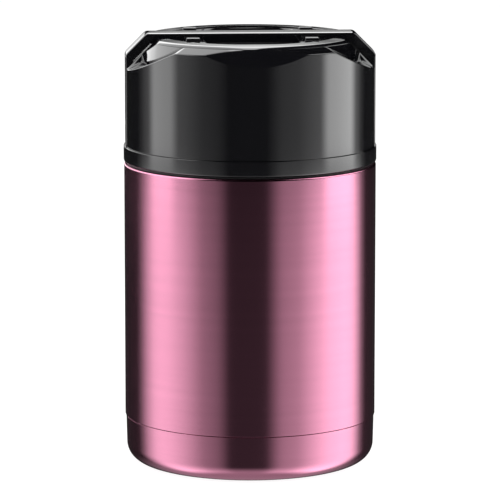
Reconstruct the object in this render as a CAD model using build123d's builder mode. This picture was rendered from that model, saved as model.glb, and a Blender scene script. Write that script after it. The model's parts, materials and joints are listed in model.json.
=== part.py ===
"""Insulated food jar: a vacuum jar, its screw-in stopper, and its screw-on lid with a pull-up handle.

Millimetres, +Z up, origin on the ground under the jar's axis, front towards -Y.
"""

from build123d import *
from math import sqrt
import os

# ---------------------------------------------------------------- driving dimensions
# Jar
BODY_RADIUS = 55.0
BODY_TOP = 132.0
STEEL_WALL = 0.8
SHOULDER_FILLET = 1.4
SEAM_HEIGHT = 20.5
SEAM_GROOVE = 0.4
BASE_TAPER = 0.5
BASE_FILLET = 8.0
BASE_RIM_WIDTH = 19.0
BASE_RECESS_DEPTH = 1.6
BASE_LAP = 4.0
BASE_DISC_THICKNESS = 1.2
PLUG_HOLE_RADIUS = 1.5
GETTER_RADIUS = 7.0
GETTER_HEIGHT = 3.0
GETTER_OFFSET = 18.0
VACUUM_GAP = 3.6
INNER_FLOOR = 9.6
INNER_FILLET = 8.0
NECK_INSET = 13.4
NECK_VACUUM_GAP = 1.4
NECK_HEIGHT = 14.4
SHOULDER_RISE = 12.0

# Threads, the same on the stopper and on the lid
THREAD_PITCH = 4.0
THREAD_DEPTH = 0.8
THREAD_TURNS = 1.25
THREAD_ROOT_WIDTH = 2.4
THREAD_CREST_WIDTH = 1.0
THREAD_ROOT_SINK = 0.3

# Collar
COLLAR_WALL = 1.9
COLLAR_HEIGHT = 11.7
COLLAR_FLANGE = 0.8
COLLAR_FLANGE_INSET = 1.4

# Lid
BAND_PROUD = 0.2
BAND_STEP = 0.8
LID_WALL = 2.6
BAND_HEIGHT = 6.6
BAND_WALL = 2.2
BAND_FILLET = 0.6
BAND_FLARE = 5.0
LINER_WALL = 1.1
LINER_FILLET = 3.0
PAD_WALL = 1.55
LID_HEIGHT = 54.6
LAND_THICKNESS = 2.2
LAND_WIDTH = 6.2
CORE_INSET = 6.4
CORE_ROUND_WIDTH = 3.5
CORE_EDGE_DROP = 0.9
FRONT_FACET_DROP = 7.4
FRONT_FACET_SLOPE = 0.9
SIDE_FACET_DROP = 14.4
SIDE_FACET_SLOPE = 0.55

# Handle strap
STRAP_WIDTH = 14.0
STRAP_THICKNESS = 4.4
STRAP_RISE = 1.6
STRAP_BEVEL = 9.1
STRAP_CORNER = 3.0
STRAP_EDGE = 0.9
ARM_THICKNESS = 2.7
ARM_TRAVEL = 18.0
PIN_RADIUS = 1.7
PIN_HEAD_RADIUS = 3.1
PIN_HEAD_THICKNESS = 1.0
PIN_DROP = 17.8

# Top tray
TRAY_THICKNESS = 2.0
TRAY_DROP = 0.6
TRAY_FLANGE = 1.6
WELL_END_RIM = 6.0
WELL_SIDE_RIM = 18.0
WELL_DEPTH = 13.7
WELL_CORNER = 8.0
WELL_WALL = 1.8
WELL_GAP = 0.4
REST_PAD_LENGTH = 6.0
REST_PAD_WIDTH = 4.0
REST_PAD_HEIGHT = 2.0
REST_PAD_END_INSET = 12.4
REST_PAD_SIDE_INSET = 17.0

# Stopper
STOPPER_WALL = 2.0
STOPPER_PLUG_DEPTH = 25.0
STOPPER_FLANGE_OVERHANG = 0.6
STOPPER_FLANGE = 2.3
SEAL_HEIGHT = 1.7
LID_SEAL_WIDTH = 1.85
GRIP_INSET = 5.0
GRIP_HEIGHT = 11.0
GRIP_WALL = 2.0
GRIP_FLANGE_INSET = 3.2
GRIP_FILLET = 1.5
SCALLOPS = 12
SCALLOP_RADIUS = 8.0
SCALLOP_DEPTH = 2.0
STOPPER_BASE = 2.2
BUTTON_RADIUS = 10.5
BUTTON_HEIGHT = 6.4
BUTTON_PROUD = 1.2
BUTTON_TRAVEL = 2.5
BUTTON_WALL = 1.6
STEM_RADIUS = 2.2
VALVE_RADIUS = 6.0
VALVE_THICKNESS = 2.0
VENT_CLEARANCE = 0.9
SPRING_WIRE = 0.45
SPRING_RADIUS = 4.6
SPRING_TURNS = 3.5

# Clearances
RUN_GAP = 0.3
FIT_GAP = 0.05
FACE_GAP = 0.02

# ---------------------------------------------------------------- derived heights and radii
NECK_RADIUS = BODY_RADIUS - NECK_INSET
NECK_TOP = BODY_TOP + NECK_HEIGHT
LIP_TOP = NECK_TOP + STEEL_WALL
NECK_WALL_RADIUS = NECK_RADIUS + STEEL_WALL
SHELL_NECK_RADIUS = NECK_WALL_RADIUS + NECK_VACUUM_GAP + STEEL_WALL
SHELL_BORE = BODY_RADIUS - STEEL_WALL
VESSEL_RADIUS = SHELL_BORE - VACUUM_GAP - STEEL_WALL
SHOULDER_TOP = BODY_TOP - STEEL_WALL
SHOULDER_FOOT = SHOULDER_TOP - SHOULDER_RISE
BASE_RADIUS = BODY_RADIUS - SEAM_GROOVE
BASE_FOOT_RADIUS = BASE_RADIUS - BASE_TAPER
BASE_RECESS_RADIUS = BODY_RADIUS - BASE_RIM_WIDTH
BASE_TOP = SEAM_HEIGHT - SEAM_GROOVE / 2
BASE_LAP_TOP = BASE_TOP + BASE_LAP
BASE_DISC_TOP = BASE_RECESS_DEPTH + STEEL_WALL

COLLAR_BASE = BODY_TOP + FACE_GAP
COLLAR_TOP = BODY_TOP + COLLAR_HEIGHT
COLLAR_BORE = SHELL_NECK_RADIUS + FIT_GAP
COLLAR_RADIUS = COLLAR_BORE + COLLAR_WALL
COLLAR_CREST = COLLAR_RADIUS + THREAD_DEPTH

BAND_RADIUS = BODY_RADIUS + BAND_PROUD
LID_RADIUS = BAND_RADIUS - BAND_STEP
CORE_RADIUS = LID_RADIUS - CORE_INSET
LAND_RADIUS = CORE_RADIUS - CORE_ROUND_WIDTH
TOP_OPENING_RADIUS = LAND_RADIUS - LAND_WIDTH
LID_BOTTOM = COLLAR_BASE + COLLAR_FLANGE + RUN_GAP
BAND_TOP = LID_BOTTOM + BAND_HEIGHT
SHELL_BOTTOM = BAND_TOP + FACE_GAP
LID_TOP = LID_BOTTOM + LID_HEIGHT
LID_BORE = LID_RADIUS - LID_WALL
LINER_CREST = COLLAR_CREST + RUN_GAP
LINER_THREAD_BORE = LINER_CREST + THREAD_DEPTH
LINER_SKIRT_RADIUS = LINER_THREAD_BORE + LINER_WALL
LINER_BORE = LINER_THREAD_BORE - LID_SEAL_WIDTH
LINER_UPPER_RADIUS = LINER_BORE + LINER_WALL
LID_SEAL_BASE = COLLAR_TOP + RUN_GAP
LINER_STEP = LID_SEAL_BASE + SEAL_HEIGHT
LAND_UNDERSIDE = LID_TOP - LAND_THICKNESS
CORE_EDGE = LID_TOP - CORE_EDGE_DROP
FRONT_EDGE = LID_TOP - FRONT_FACET_DROP
SIDE_EDGE = LID_TOP - SIDE_FACET_DROP

STRAP_TOP = LID_TOP + STRAP_RISE
ARM_BOTTOM = BAND_TOP + 2 * RUN_GAP
CHANNEL_WIDTH = STRAP_WIDTH + 2 * RUN_GAP
CHANNEL_FLOOR = ARM_THICKNESS + RUN_GAP
CHANNEL_SEAT = STRAP_THICKNESS + RUN_GAP
SADDLE_WIDTH = CHANNEL_WIDTH + 2 * WELL_WALL
SADDLE_SEAT = CHANNEL_SEAT + WELL_WALL
PAD_FACE = LID_RADIUS - CHANNEL_FLOOR - PAD_WALL
BEVEL_EDGE = STRAP_TOP - STRAP_BEVEL - CHANNEL_SEAT * sqrt(2)

PIN_HEIGHT = LID_TOP - PIN_DROP
PIN_FOOT = PAD_FACE + FIT_GAP
HEAD_POCKET_FLOOR = LID_RADIUS - PIN_HEAD_THICKNESS - RUN_GAP
PIN_SHOULDER = HEAD_POCKET_FLOOR + FIT_GAP
PIN_END = PIN_SHOULDER + PIN_HEAD_THICKNESS

TRAY_TOP = LID_TOP - TRAY_DROP
TRAY_RADIUS = TOP_OPENING_RADIUS - RUN_GAP
TRAY_FLANGE_RADIUS = TOP_OPENING_RADIUS + TRAY_FLANGE
WELL_LENGTH = 2 * (TRAY_RADIUS - WELL_END_RIM)
WELL_WIDTH = 2 * (TRAY_RADIUS - WELL_SIDE_RIM)
WELL_FLOOR = TRAY_TOP - WELL_DEPTH
WELL_BASE = WELL_FLOOR - WELL_WALL
REST_PAD_X = TRAY_RADIUS - REST_PAD_END_INSET
REST_PAD_Y = TRAY_RADIUS - REST_PAD_SIDE_INSET
LINER_TOP = WELL_BASE - WELL_GAP
CEILING = LINER_TOP - LINER_WALL
TRAY_CHANNEL_FLOOR = STRAP_TOP - STRAP_THICKNESS - RUN_GAP

STOPPER_FLANGE_RADIUS = SHELL_NECK_RADIUS + STOPPER_FLANGE_OVERHANG
GRIP_FLANGE_RADIUS = STOPPER_FLANGE_RADIUS - GRIP_FLANGE_INSET
GRIP_RADIUS = GRIP_FLANGE_RADIUS - GRIP_INSET
SEAL_BORE = NECK_RADIUS + RUN_GAP
SEAL_SEAT = LIP_TOP + RUN_GAP
FLANGE_BASE = SEAL_SEAT + SEAL_HEIGHT + FACE_GAP
FLANGE_TOP = FLANGE_BASE + STOPPER_FLANGE
NECK_CREST = NECK_RADIUS - THREAD_DEPTH
PLUG_CREST = NECK_CREST - RUN_GAP
PLUG_RADIUS = PLUG_CREST - THREAD_DEPTH
PLUG_BORE = PLUG_RADIUS - STOPPER_WALL
PLUG_BOTTOM = LIP_TOP - STOPPER_PLUG_DEPTH
GRIP_BASE = FLANGE_TOP + FACE_GAP
GRIP_STEP = GRIP_BASE + GRIP_WALL
GRIP_TOP = GRIP_BASE + GRIP_HEIGHT
GRIP_BORE = GRIP_RADIUS - SCALLOP_DEPTH - GRIP_WALL
BUTTON_BORE = BUTTON_RADIUS + RUN_GAP
BUTTON_TOP = GRIP_TOP + BUTTON_PROUD
BUTTON_CEILING = BUTTON_TOP - BUTTON_WALL
BUTTON_BOTTOM = BUTTON_TOP - BUTTON_HEIGHT
BUTTON_WELL_FLOOR = BUTTON_BOTTOM - BUTTON_TRAVEL - RUN_GAP
BASE_PLATE_TOP = PLUG_BOTTOM + STOPPER_BASE
STEM_BORE = STEM_RADIUS + FIT_GAP
VENT_RADIUS = STEM_RADIUS + VENT_CLEARANCE
VENT_COLLAR_RADIUS = VENT_RADIUS + STOPPER_WALL
VALVE_TOP = PLUG_BOTTOM - FACE_GAP
VALVE_BOTTOM = VALVE_TOP - VALVE_THICKNESS
SPRING_LOW = BUTTON_WELL_FLOOR + FIT_GAP + SPRING_WIRE
SPRING_RISE = BUTTON_CEILING - FIT_GAP - SPRING_WIRE - SPRING_LOW

# Each inner thread lies half a pitch from its outer one, as it does when it is screwed home.
NECK_THREAD_LOW = SHOULDER_TOP + THREAD_PITCH
PLUG_THREAD_LOW = NECK_THREAD_LOW - THREAD_PITCH / 2
LINER_THREAD_LOW = LID_BOTTOM + THREAD_ROOT_WIDTH / 2 + RUN_GAP
COLLAR_THREAD_LOW = LINER_THREAD_LOW + THREAD_PITCH / 2

# Farther out than any piece reaches, for cuts that run right through.
BEYOND = 2 * BAND_RADIUS


def turn(points, rounds=(), mode=Mode.ADD):
    """Revolve a polygon of corners (radius, height) about Z, with some of its corners rounded."""
    with BuildSketch(Plane.XZ) as profile:
        Polygon(*points, align=None)
        for corner, radius in rounds:
            fillet(profile.vertices().sort_by_distance(corner)[:1], radius)
    revolve(profile.sketch, axis=Axis.Z, mode=mode)


def ring(outer, inner, low, high, mode=Mode.ADD):
    """A plain ring about Z, or a disc where its inner radius is 0."""
    turn([(inner, low), (outer, low), (outer, high), (inner, high)], mode=mode)


def thread(root, crest, low):
    """A screw thread's ridge, from a little inside its wall to its crest radius."""
    outward = 1 if crest > root else -1
    sunk = root - outward * THREAD_ROOT_SINK
    with BuildLine() as path:
        Helix(THREAD_PITCH, THREAD_PITCH * THREAD_TURNS, sunk, center=(0, 0, low))
    with BuildSketch(Plane(origin=(sunk, 0, low), x_dir=(1, 0, 0), z_dir=(0, -1, 0))) as profile:
        Polygon(
            (0, -THREAD_ROOT_WIDTH / 2),
            (crest - sunk, -THREAD_CREST_WIDTH / 2),
            (crest - sunk, THREAD_CREST_WIDTH / 2),
            (0, THREAD_ROOT_WIDTH / 2),
            align=None,
        )
    sweep(profile.sketch, path=path.line, is_frenet=True)


def facet(side, edge_height, slope):
    """The triangle above a facet that falls outwards, on a plane through the lid's axis."""
    inner = LID_RADIUS / 2
    outer = LID_RADIUS * 3 / 2
    high = edge_height + slope * (LID_RADIUS - inner)
    low = edge_height - slope * (outer - LID_RADIUS)
    return [(side * inner, high), (side * outer, low), (side * outer, high)]


def arch(side, seat, low):
    """The strap's arch seen from the front, its sides moved in by one offset and its top by another."""
    x_side = LID_RADIUS - side
    z_top = STRAP_TOP - seat
    bevel_line = LID_RADIUS + STRAP_TOP - STRAP_BEVEL - seat * sqrt(2)
    right = [(x_side, low), (x_side, bevel_line - x_side), (bevel_line - z_top, z_top)]
    left = [(-x, z) for x, z in reversed(right)]
    return right + left


# ---------------------------------------------------------------- the vacuum jar
with BuildPart() as outer_shell:
    shell_foot = SEAM_HEIGHT + SEAM_GROOVE / 2
    neck_bore = SHELL_NECK_RADIUS - STEEL_WALL
    turn(
        [(0, shell_foot), (BODY_RADIUS, shell_foot), (BODY_RADIUS, BODY_TOP),
         (SHELL_NECK_RADIUS, BODY_TOP), (SHELL_NECK_RADIUS, NECK_TOP), (0, NECK_TOP)],
        [((BODY_RADIUS, BODY_TOP), SHOULDER_FILLET)],
    )
    turn(
        [(0, shell_foot), (SHELL_BORE, shell_foot), (SHELL_BORE, SHOULDER_TOP),
         (neck_bore, SHOULDER_TOP), (neck_bore, NECK_TOP), (0, NECK_TOP)],
        [((SHELL_BORE, SHOULDER_TOP), SHOULDER_FILLET - STEEL_WALL)],
        mode=Mode.SUBTRACT,
    )

with BuildPart() as base_cap:
    lap_radius = SHELL_BORE - FIT_GAP
    cap_bore = BASE_FOOT_RADIUS - STEEL_WALL
    turn(
        [(0, 0), (BASE_FOOT_RADIUS, 0), (BASE_RADIUS, BASE_TOP), (lap_radius, BASE_TOP),
         (lap_radius, BASE_LAP_TOP), (0, BASE_LAP_TOP)],
        [((BASE_FOOT_RADIUS, 0), BASE_FILLET)],
    )
    turn(
        [(0, BASE_DISC_TOP), (BASE_RECESS_RADIUS, BASE_DISC_TOP),
         (BASE_RECESS_RADIUS + BASE_RECESS_DEPTH, STEEL_WALL), (cap_bore, STEEL_WALL),
         (cap_bore, BASE_LAP_TOP), (0, BASE_LAP_TOP)],
        [((cap_bore, STEEL_WALL), BASE_FILLET - STEEL_WALL)],
        mode=Mode.SUBTRACT,
    )
    ring(BASE_RECESS_RADIUS, 0, 0, BASE_RECESS_DEPTH, mode=Mode.SUBTRACT)
    with Locations((0, 0, BASE_RECESS_DEPTH)):
        Hole(PLUG_HOLE_RADIUS, depth=2 * STEEL_WALL)

with BuildPart() as vacuum_plug:
    plug_low = BASE_RECESS_DEPTH + FACE_GAP
    ring(PLUG_HOLE_RADIUS, 0, plug_low, plug_low + STEEL_WALL)
    ring(PLUG_HOLE_RADIUS + STEEL_WALL, 0, plug_low + STEEL_WALL, plug_low + 2 * STEEL_WALL)
    fillet(vacuum_plug.edges().sort_by(Axis.Z)[-1:], STEEL_WALL / 2)

with BuildPart() as base_disc:
    disc_low = BASE_RECESS_DEPTH - BASE_DISC_THICKNESS
    ring(BASE_RECESS_RADIUS - RUN_GAP, 0, disc_low, BASE_RECESS_DEPTH - FACE_GAP)
    chamfer(base_disc.edges().sort_by(Axis.Z)[:1], BASE_DISC_THICKNESS / 4)

with BuildPart() as inner_vessel:
    vessel_wall_radius = VESSEL_RADIUS + STEEL_WALL
    vessel_base = INNER_FLOOR - STEEL_WALL
    turn(
        [(0, vessel_base), (vessel_wall_radius, vessel_base), (vessel_wall_radius, SHOULDER_FOOT),
         (NECK_WALL_RADIUS, SHOULDER_TOP), (NECK_WALL_RADIUS, NECK_TOP), (SHELL_NECK_RADIUS, NECK_TOP),
         (SHELL_NECK_RADIUS, LIP_TOP), (0, LIP_TOP)],
        [((vessel_wall_radius, vessel_base), INNER_FILLET + STEEL_WALL),
         ((SHELL_NECK_RADIUS, LIP_TOP), STEEL_WALL / 2)],
    )
    turn(
        [(0, INNER_FLOOR), (VESSEL_RADIUS, INNER_FLOOR), (VESSEL_RADIUS, SHOULDER_FOOT),
         (NECK_RADIUS, SHOULDER_TOP), (NECK_RADIUS, LIP_TOP), (0, LIP_TOP)],
        [((VESSEL_RADIUS, INNER_FLOOR), INNER_FILLET)],
        mode=Mode.SUBTRACT,
    )
    thread(NECK_RADIUS, NECK_CREST, NECK_THREAD_LOW)

with BuildPart() as getter:
    with BuildSketch(Plane.XY.offset(BASE_DISC_TOP + FACE_GAP)):
        with Locations((GETTER_OFFSET, 0)):
            Circle(GETTER_RADIUS)
    extrude(amount=GETTER_HEIGHT)
    chamfer(getter.edges().group_by(Axis.Z)[-1], GETTER_HEIGHT / 5)

with BuildPart() as neck_collar:
    ring(COLLAR_RADIUS, COLLAR_BORE, COLLAR_BASE, COLLAR_TOP)
    ring(BODY_RADIUS - COLLAR_FLANGE_INSET, COLLAR_BORE, COLLAR_BASE, COLLAR_BASE + COLLAR_FLANGE)
    chamfer(neck_collar.edges().filter_by(GeomType.CIRCLE).group_by(Axis.Z)[-1], STEEL_WALL / 2)
    thread(COLLAR_RADIUS, COLLAR_CREST, COLLAR_THREAD_LOW)


# ---------------------------------------------------------------- the stopper
with BuildPart() as stopper_seal:
    ring(SHELL_NECK_RADIUS, SEAL_BORE, SEAL_SEAT, SEAL_SEAT + SEAL_HEIGHT)
    fillet(stopper_seal.edges().group_by(Axis.Z)[0], SEAL_HEIGHT / 4)

with BuildPart() as stopper_shell:
    ring(PLUG_RADIUS, PLUG_BORE, PLUG_BOTTOM, FLANGE_TOP)
    ring(STOPPER_FLANGE_RADIUS, PLUG_BORE, FLANGE_BASE, FLANGE_TOP)
    flange_edges = stopper_shell.edges().filter_by(GeomType.CIRCLE).group_by(SortBy.RADIUS)[-1]
    fillet(flange_edges, STOPPER_FLANGE / 4)
    thread(PLUG_RADIUS, PLUG_CREST, PLUG_THREAD_LOW)

with BuildPart() as stopper_base:
    ring(PLUG_BORE - FIT_GAP, VENT_RADIUS, PLUG_BOTTOM, BASE_PLATE_TOP)
    ring(VENT_COLLAR_RADIUS, VENT_RADIUS, BASE_PLATE_TOP, BASE_PLATE_TOP + STOPPER_WALL)

with BuildPart() as stopper_foam:
    foam_top = GRIP_BASE - RUN_GAP
    ring(PLUG_BORE - RUN_GAP, VENT_COLLAR_RADIUS + RUN_GAP, BASE_PLATE_TOP + RUN_GAP, foam_top)

with BuildPart() as stopper_cap:
    turn(
        [(0, GRIP_BASE), (GRIP_FLANGE_RADIUS, GRIP_BASE), (GRIP_FLANGE_RADIUS, GRIP_STEP),
         (GRIP_RADIUS, GRIP_STEP), (GRIP_RADIUS, GRIP_TOP), (0, GRIP_TOP)],
        [((GRIP_RADIUS, GRIP_TOP), GRIP_FILLET)],
    )
    with BuildSketch(Plane.XY.offset(GRIP_STEP)):
        with PolarLocations(GRIP_RADIUS + SCALLOP_RADIUS - SCALLOP_DEPTH, SCALLOPS):
            Circle(SCALLOP_RADIUS)
    extrude(amount=GRIP_HEIGHT, mode=Mode.SUBTRACT)
    ring(GRIP_BORE, BUTTON_BORE + GRIP_WALL, GRIP_BASE, GRIP_TOP - GRIP_WALL, mode=Mode.SUBTRACT)
    ring(BUTTON_BORE, 0, BUTTON_WELL_FLOOR, GRIP_TOP, mode=Mode.SUBTRACT)
    ring(STEM_BORE, 0, GRIP_BASE, BUTTON_WELL_FLOOR, mode=Mode.SUBTRACT)

with BuildPart() as relief_button:
    ring(BUTTON_RADIUS, BUTTON_RADIUS - BUTTON_WALL, BUTTON_BOTTOM, BUTTON_TOP)
    ring(BUTTON_RADIUS, 0, BUTTON_CEILING, BUTTON_TOP)
    ring(STEM_BORE + BUTTON_WALL / 2, STEM_BORE, BUTTON_CEILING - BUTTON_TRAVEL, BUTTON_CEILING)
    fillet(relief_button.edges().sort_by(Axis.Z)[-1:], BUTTON_WALL / 2)

with BuildPart() as valve_stem:
    ring(STEM_RADIUS, 0, VALVE_BOTTOM + FACE_GAP, BUTTON_CEILING - FACE_GAP)
    chamfer(valve_stem.edges().filter_by(GeomType.CIRCLE), STEM_RADIUS / 8)

with BuildPart() as valve_seal:
    ring(VALVE_RADIUS, STEM_BORE, VALVE_BOTTOM, VALVE_TOP)
    fillet(valve_seal.edges().group_by(Axis.Z)[0].sort_by(SortBy.RADIUS)[-1:], VALVE_THICKNESS / 3)

with BuildPart() as button_spring:
    with BuildLine() as coil:
        Helix(SPRING_RISE / SPRING_TURNS, SPRING_RISE, SPRING_RADIUS, center=(0, 0, SPRING_LOW))
    with BuildSketch(Plane(origin=coil.line @ 0, z_dir=coil.line % 0)):
        Circle(SPRING_WIRE)
    sweep(path=coil.line, is_frenet=True)

# ---------------------------------------------------------------- the lid
with BuildPart() as lid_seal:
    ring(LINER_THREAD_BORE - FIT_GAP, LINER_BORE + FIT_GAP, LID_SEAL_BASE, LINER_STEP - FACE_GAP)
    fillet(lid_seal.edges().group_by(Axis.Z)[0], SEAL_HEIGHT / 4)

with BuildPart() as lid_liner:
    band_web = BAND_TOP - LINER_WALL
    turn(
        [(0, LID_BOTTOM), (BAND_RADIUS, LID_BOTTOM), (BAND_RADIUS, BAND_TOP),
         (LINER_SKIRT_RADIUS, BAND_TOP), (LINER_SKIRT_RADIUS, LINER_STEP + LINER_WALL),
         (LINER_UPPER_RADIUS, LINER_STEP + LINER_WALL), (LINER_UPPER_RADIUS, LINER_TOP), (0, LINER_TOP)],
        [((BAND_RADIUS, LID_BOTTOM), BAND_FILLET),
         ((LINER_UPPER_RADIUS, LINER_TOP), LINER_FILLET + LINER_WALL)],
    )
    turn(
        [(0, LID_BOTTOM), (LINER_THREAD_BORE, LID_BOTTOM), (LINER_THREAD_BORE, LINER_STEP),
         (LINER_BORE, LINER_STEP), (LINER_BORE, CEILING), (0, CEILING)],
        [((LINER_BORE, CEILING), LINER_FILLET)],
        mode=Mode.SUBTRACT,
    )
    ring(BAND_RADIUS - BAND_WALL, LINER_SKIRT_RADIUS, LID_BOTTOM, band_web, mode=Mode.SUBTRACT)
    thread(LINER_THREAD_BORE, LINER_CREST, LINER_THREAD_LOW)

# The space inside the lid shell, less the walls that carry the strap's channel.
with BuildPart() as lid_hollow:
    throat = TRAY_FLANGE_RADIUS + RUN_GAP
    turn(
        [(0, SHELL_BOTTOM), (LID_BORE, SHELL_BOTTOM), (LID_BORE, SIDE_EDGE - LID_WALL),
         (CORE_RADIUS, SIDE_EDGE), (LAND_RADIUS, SIDE_EDGE + 2 * LID_WALL),
         (throat, LAND_UNDERSIDE - LAND_THICKNESS), (throat, LAND_UNDERSIDE), (0, LAND_UNDERSIDE)],
    )
    with BuildSketch(Plane.XZ):
        with Locations((0, SHELL_BOTTOM)):
            Rectangle(2 * BEYOND, BEYOND, align=(Align.CENTER, Align.MIN))
        Polygon(*arch(LID_RADIUS - PAD_FACE, SADDLE_SEAT, SHELL_BOTTOM), align=None, mode=Mode.SUBTRACT)
    extrude(amount=SADDLE_WIDTH / 2, both=True, mode=Mode.SUBTRACT)

with BuildPart() as lid_shell:
    turn(
        [(0, SHELL_BOTTOM), (BAND_RADIUS, SHELL_BOTTOM), (LID_RADIUS, SHELL_BOTTOM + BAND_FLARE),
         (LID_RADIUS, CORE_EDGE), (0, CORE_EDGE)],
    )
    for plane, edge_height, slope in (
        (Plane.YZ, FRONT_EDGE, FRONT_FACET_SLOPE),
        (Plane.XZ, SIDE_EDGE, SIDE_FACET_SLOPE),
    ):
        with BuildSketch(plane):
            for side in (-1, 1):
                Polygon(*facet(side, edge_height, slope), align=None)
        extrude(amount=BEYOND, both=True, mode=Mode.SUBTRACT)
    with BuildSketch(Plane.XZ):
        with BuildLine():
            Polyline(
                (LAND_RADIUS, LID_TOP), (0, LID_TOP), (0, SHELL_BOTTOM),
                (CORE_RADIUS, SHELL_BOTTOM), (CORE_RADIUS, CORE_EDGE),
            )
            TangentArc((LAND_RADIUS, LID_TOP), (CORE_RADIUS, CORE_EDGE), tangent=(1, 0))
        make_face()
    revolve(axis=Axis.Z)
    with BuildSketch(Plane.XZ):
        for side in (-1, 1):
            Polygon(*facet(side, BEVEL_EDGE, 1), align=None)
    extrude(amount=BEYOND, both=True, mode=Mode.SUBTRACT)
    add(lid_hollow.part, mode=Mode.SUBTRACT)
    with BuildSketch(Plane.XZ):
        with Locations((0, SHELL_BOTTOM)):
            Rectangle(2 * BEYOND, BEYOND, align=(Align.CENTER, Align.MIN))
        Polygon(*arch(CHANNEL_FLOOR, CHANNEL_SEAT, SHELL_BOTTOM), align=None, mode=Mode.SUBTRACT)
    extrude(amount=CHANNEL_WIDTH / 2, both=True, mode=Mode.SUBTRACT)
    ring(TOP_OPENING_RADIUS, 0, CEILING, LID_TOP, mode=Mode.SUBTRACT)
    with BuildSketch(Plane.YZ):
        with Locations((0, PIN_HEIGHT)):
            Circle(PIN_RADIUS + FIT_GAP)
    extrude(amount=BEYOND, both=True, mode=Mode.SUBTRACT)

with BuildPart() as top_tray:
    ring(TRAY_RADIUS, 0, TRAY_TOP - TRAY_THICKNESS, TRAY_TOP)
    with BuildSketch(Plane.XY.offset(LAND_UNDERSIDE - TRAY_THICKNESS)):
        Circle(TRAY_FLANGE_RADIUS)
        Circle(TRAY_RADIUS - TRAY_THICKNESS, mode=Mode.SUBTRACT)
        Rectangle(BEYOND, SADDLE_WIDTH + 2 * RUN_GAP, mode=Mode.SUBTRACT)
    extrude(amount=TRAY_THICKNESS - FACE_GAP)
    with BuildSketch(Plane.XY.offset(WELL_BASE)):
        RectangleRounded(WELL_WIDTH + 2 * WELL_WALL, WELL_LENGTH + 2 * WELL_WALL, WELL_CORNER + WELL_WALL)
    extrude(amount=TRAY_TOP - WELL_BASE)
    with BuildSketch(Plane.XY.offset(TRAY_CHANNEL_FLOOR - WELL_WALL)):
        Circle(TRAY_RADIUS)
        Rectangle(BEYOND, SADDLE_WIDTH, mode=Mode.INTERSECT)
    extrude(amount=TRAY_TOP - TRAY_CHANNEL_FLOOR + WELL_WALL)
    with BuildSketch(Plane.XY.offset(WELL_FLOOR)):
        RectangleRounded(WELL_WIDTH, WELL_LENGTH, WELL_CORNER)
    extrude(amount=WELL_DEPTH, mode=Mode.SUBTRACT)
    with BuildSketch(Plane.XY.offset(TRAY_CHANNEL_FLOOR)):
        Rectangle(BEYOND, CHANNEL_WIDTH)
    extrude(amount=TRAY_TOP - TRAY_CHANNEL_FLOOR, mode=Mode.SUBTRACT)
    with BuildSketch(Plane.XY.offset(TRAY_TOP)):
        with GridLocations(2 * REST_PAD_X, 2 * REST_PAD_Y, 2, 2):
            RectangleRounded(REST_PAD_LENGTH, REST_PAD_WIDTH, REST_PAD_WIDTH / 8)
    extrude(amount=REST_PAD_HEIGHT)

# ---------------------------------------------------------------- the carry handle
with BuildPart() as handle_strap:
    with BuildSketch(Plane.XZ) as strap_profile:
        Polygon(*arch(0, 0, ARM_BOTTOM), align=None)
        fillet(strap_profile.vertices().sort_by(Axis.Y)[2:], STRAP_CORNER)
    extrude(amount=STRAP_WIDTH / 2, both=True)
    long_edges = handle_strap.faces().filter_by(Axis.Y).edges().sort_by(Axis.Z)[2:]
    fillet(long_edges, STRAP_EDGE)
    with BuildSketch(Plane.XZ):
        Polygon(*arch(ARM_THICKNESS, STRAP_THICKNESS, ARM_BOTTOM), align=None)
    extrude(amount=STRAP_WIDTH, both=True, mode=Mode.SUBTRACT)
    slot_middle = PIN_HEIGHT - ARM_TRAVEL / 2
    with BuildSketch(Plane.YZ):
        with Locations((0, slot_middle)):
            SlotCenterToCenter(ARM_TRAVEL, 2 * (PIN_RADIUS + RUN_GAP), rotation=90)
    extrude(amount=BEYOND, both=True, mode=Mode.SUBTRACT)
    for side in (-1, 1):
        with BuildSketch(Plane.YZ.offset(side * HEAD_POCKET_FLOOR)):
            with Locations((0, slot_middle)):
                SlotCenterToCenter(ARM_TRAVEL, 2 * (PIN_HEAD_RADIUS + RUN_GAP), rotation=90)
        extrude(amount=side * BEYOND, mode=Mode.SUBTRACT)


def guide_pin(side):
    """A shouldered pin on one side of the lid, along X, that one arm of the handle slides on."""
    with BuildPart() as pin:
        for start, end, radius in (
            (PIN_FOOT, PIN_SHOULDER, PIN_RADIUS),
            (PIN_SHOULDER, PIN_END, PIN_HEAD_RADIUS),
        ):
            with BuildSketch(Plane.YZ.offset(side * start)):
                with Locations((0, PIN_HEIGHT)):
                    Circle(radius)
            extrude(amount=side * (end - start))
    return pin


pieces = {
    "outer_shell": outer_shell, "base_cap": base_cap, "vacuum_plug": vacuum_plug,
    "base_disc": base_disc, "inner_vessel": inner_vessel, "getter": getter, "neck_collar": neck_collar,
    "stopper_seal": stopper_seal, "stopper_shell": stopper_shell, "stopper_base": stopper_base,
    "stopper_foam": stopper_foam, "stopper_cap": stopper_cap, "relief_button": relief_button,
    "valve_stem": valve_stem, "valve_seal": valve_seal, "button_spring": button_spring,
    "lid_seal": lid_seal, "lid_liner": lid_liner, "lid_shell": lid_shell, "top_tray": top_tray,
    "handle_strap": handle_strap, "handle_pin_left": guide_pin(-1), "handle_pin_right": guide_pin(1),
}
os.makedirs("parts", exist_ok=True)
for name, piece in pieces.items():
    piece.part.label = name
    export_step(piece.part, f"parts/{name}.step")
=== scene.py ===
"""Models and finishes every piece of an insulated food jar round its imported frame.

The jar has a lacquered steel body, a screw-in stopper with a relief button, and a faceted
screw-on lid with a pull-up strap handle. Profiles are in millimetres, and become metres
where a mesh is made. +Z is up and the front looks towards -Y.
"""

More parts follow.
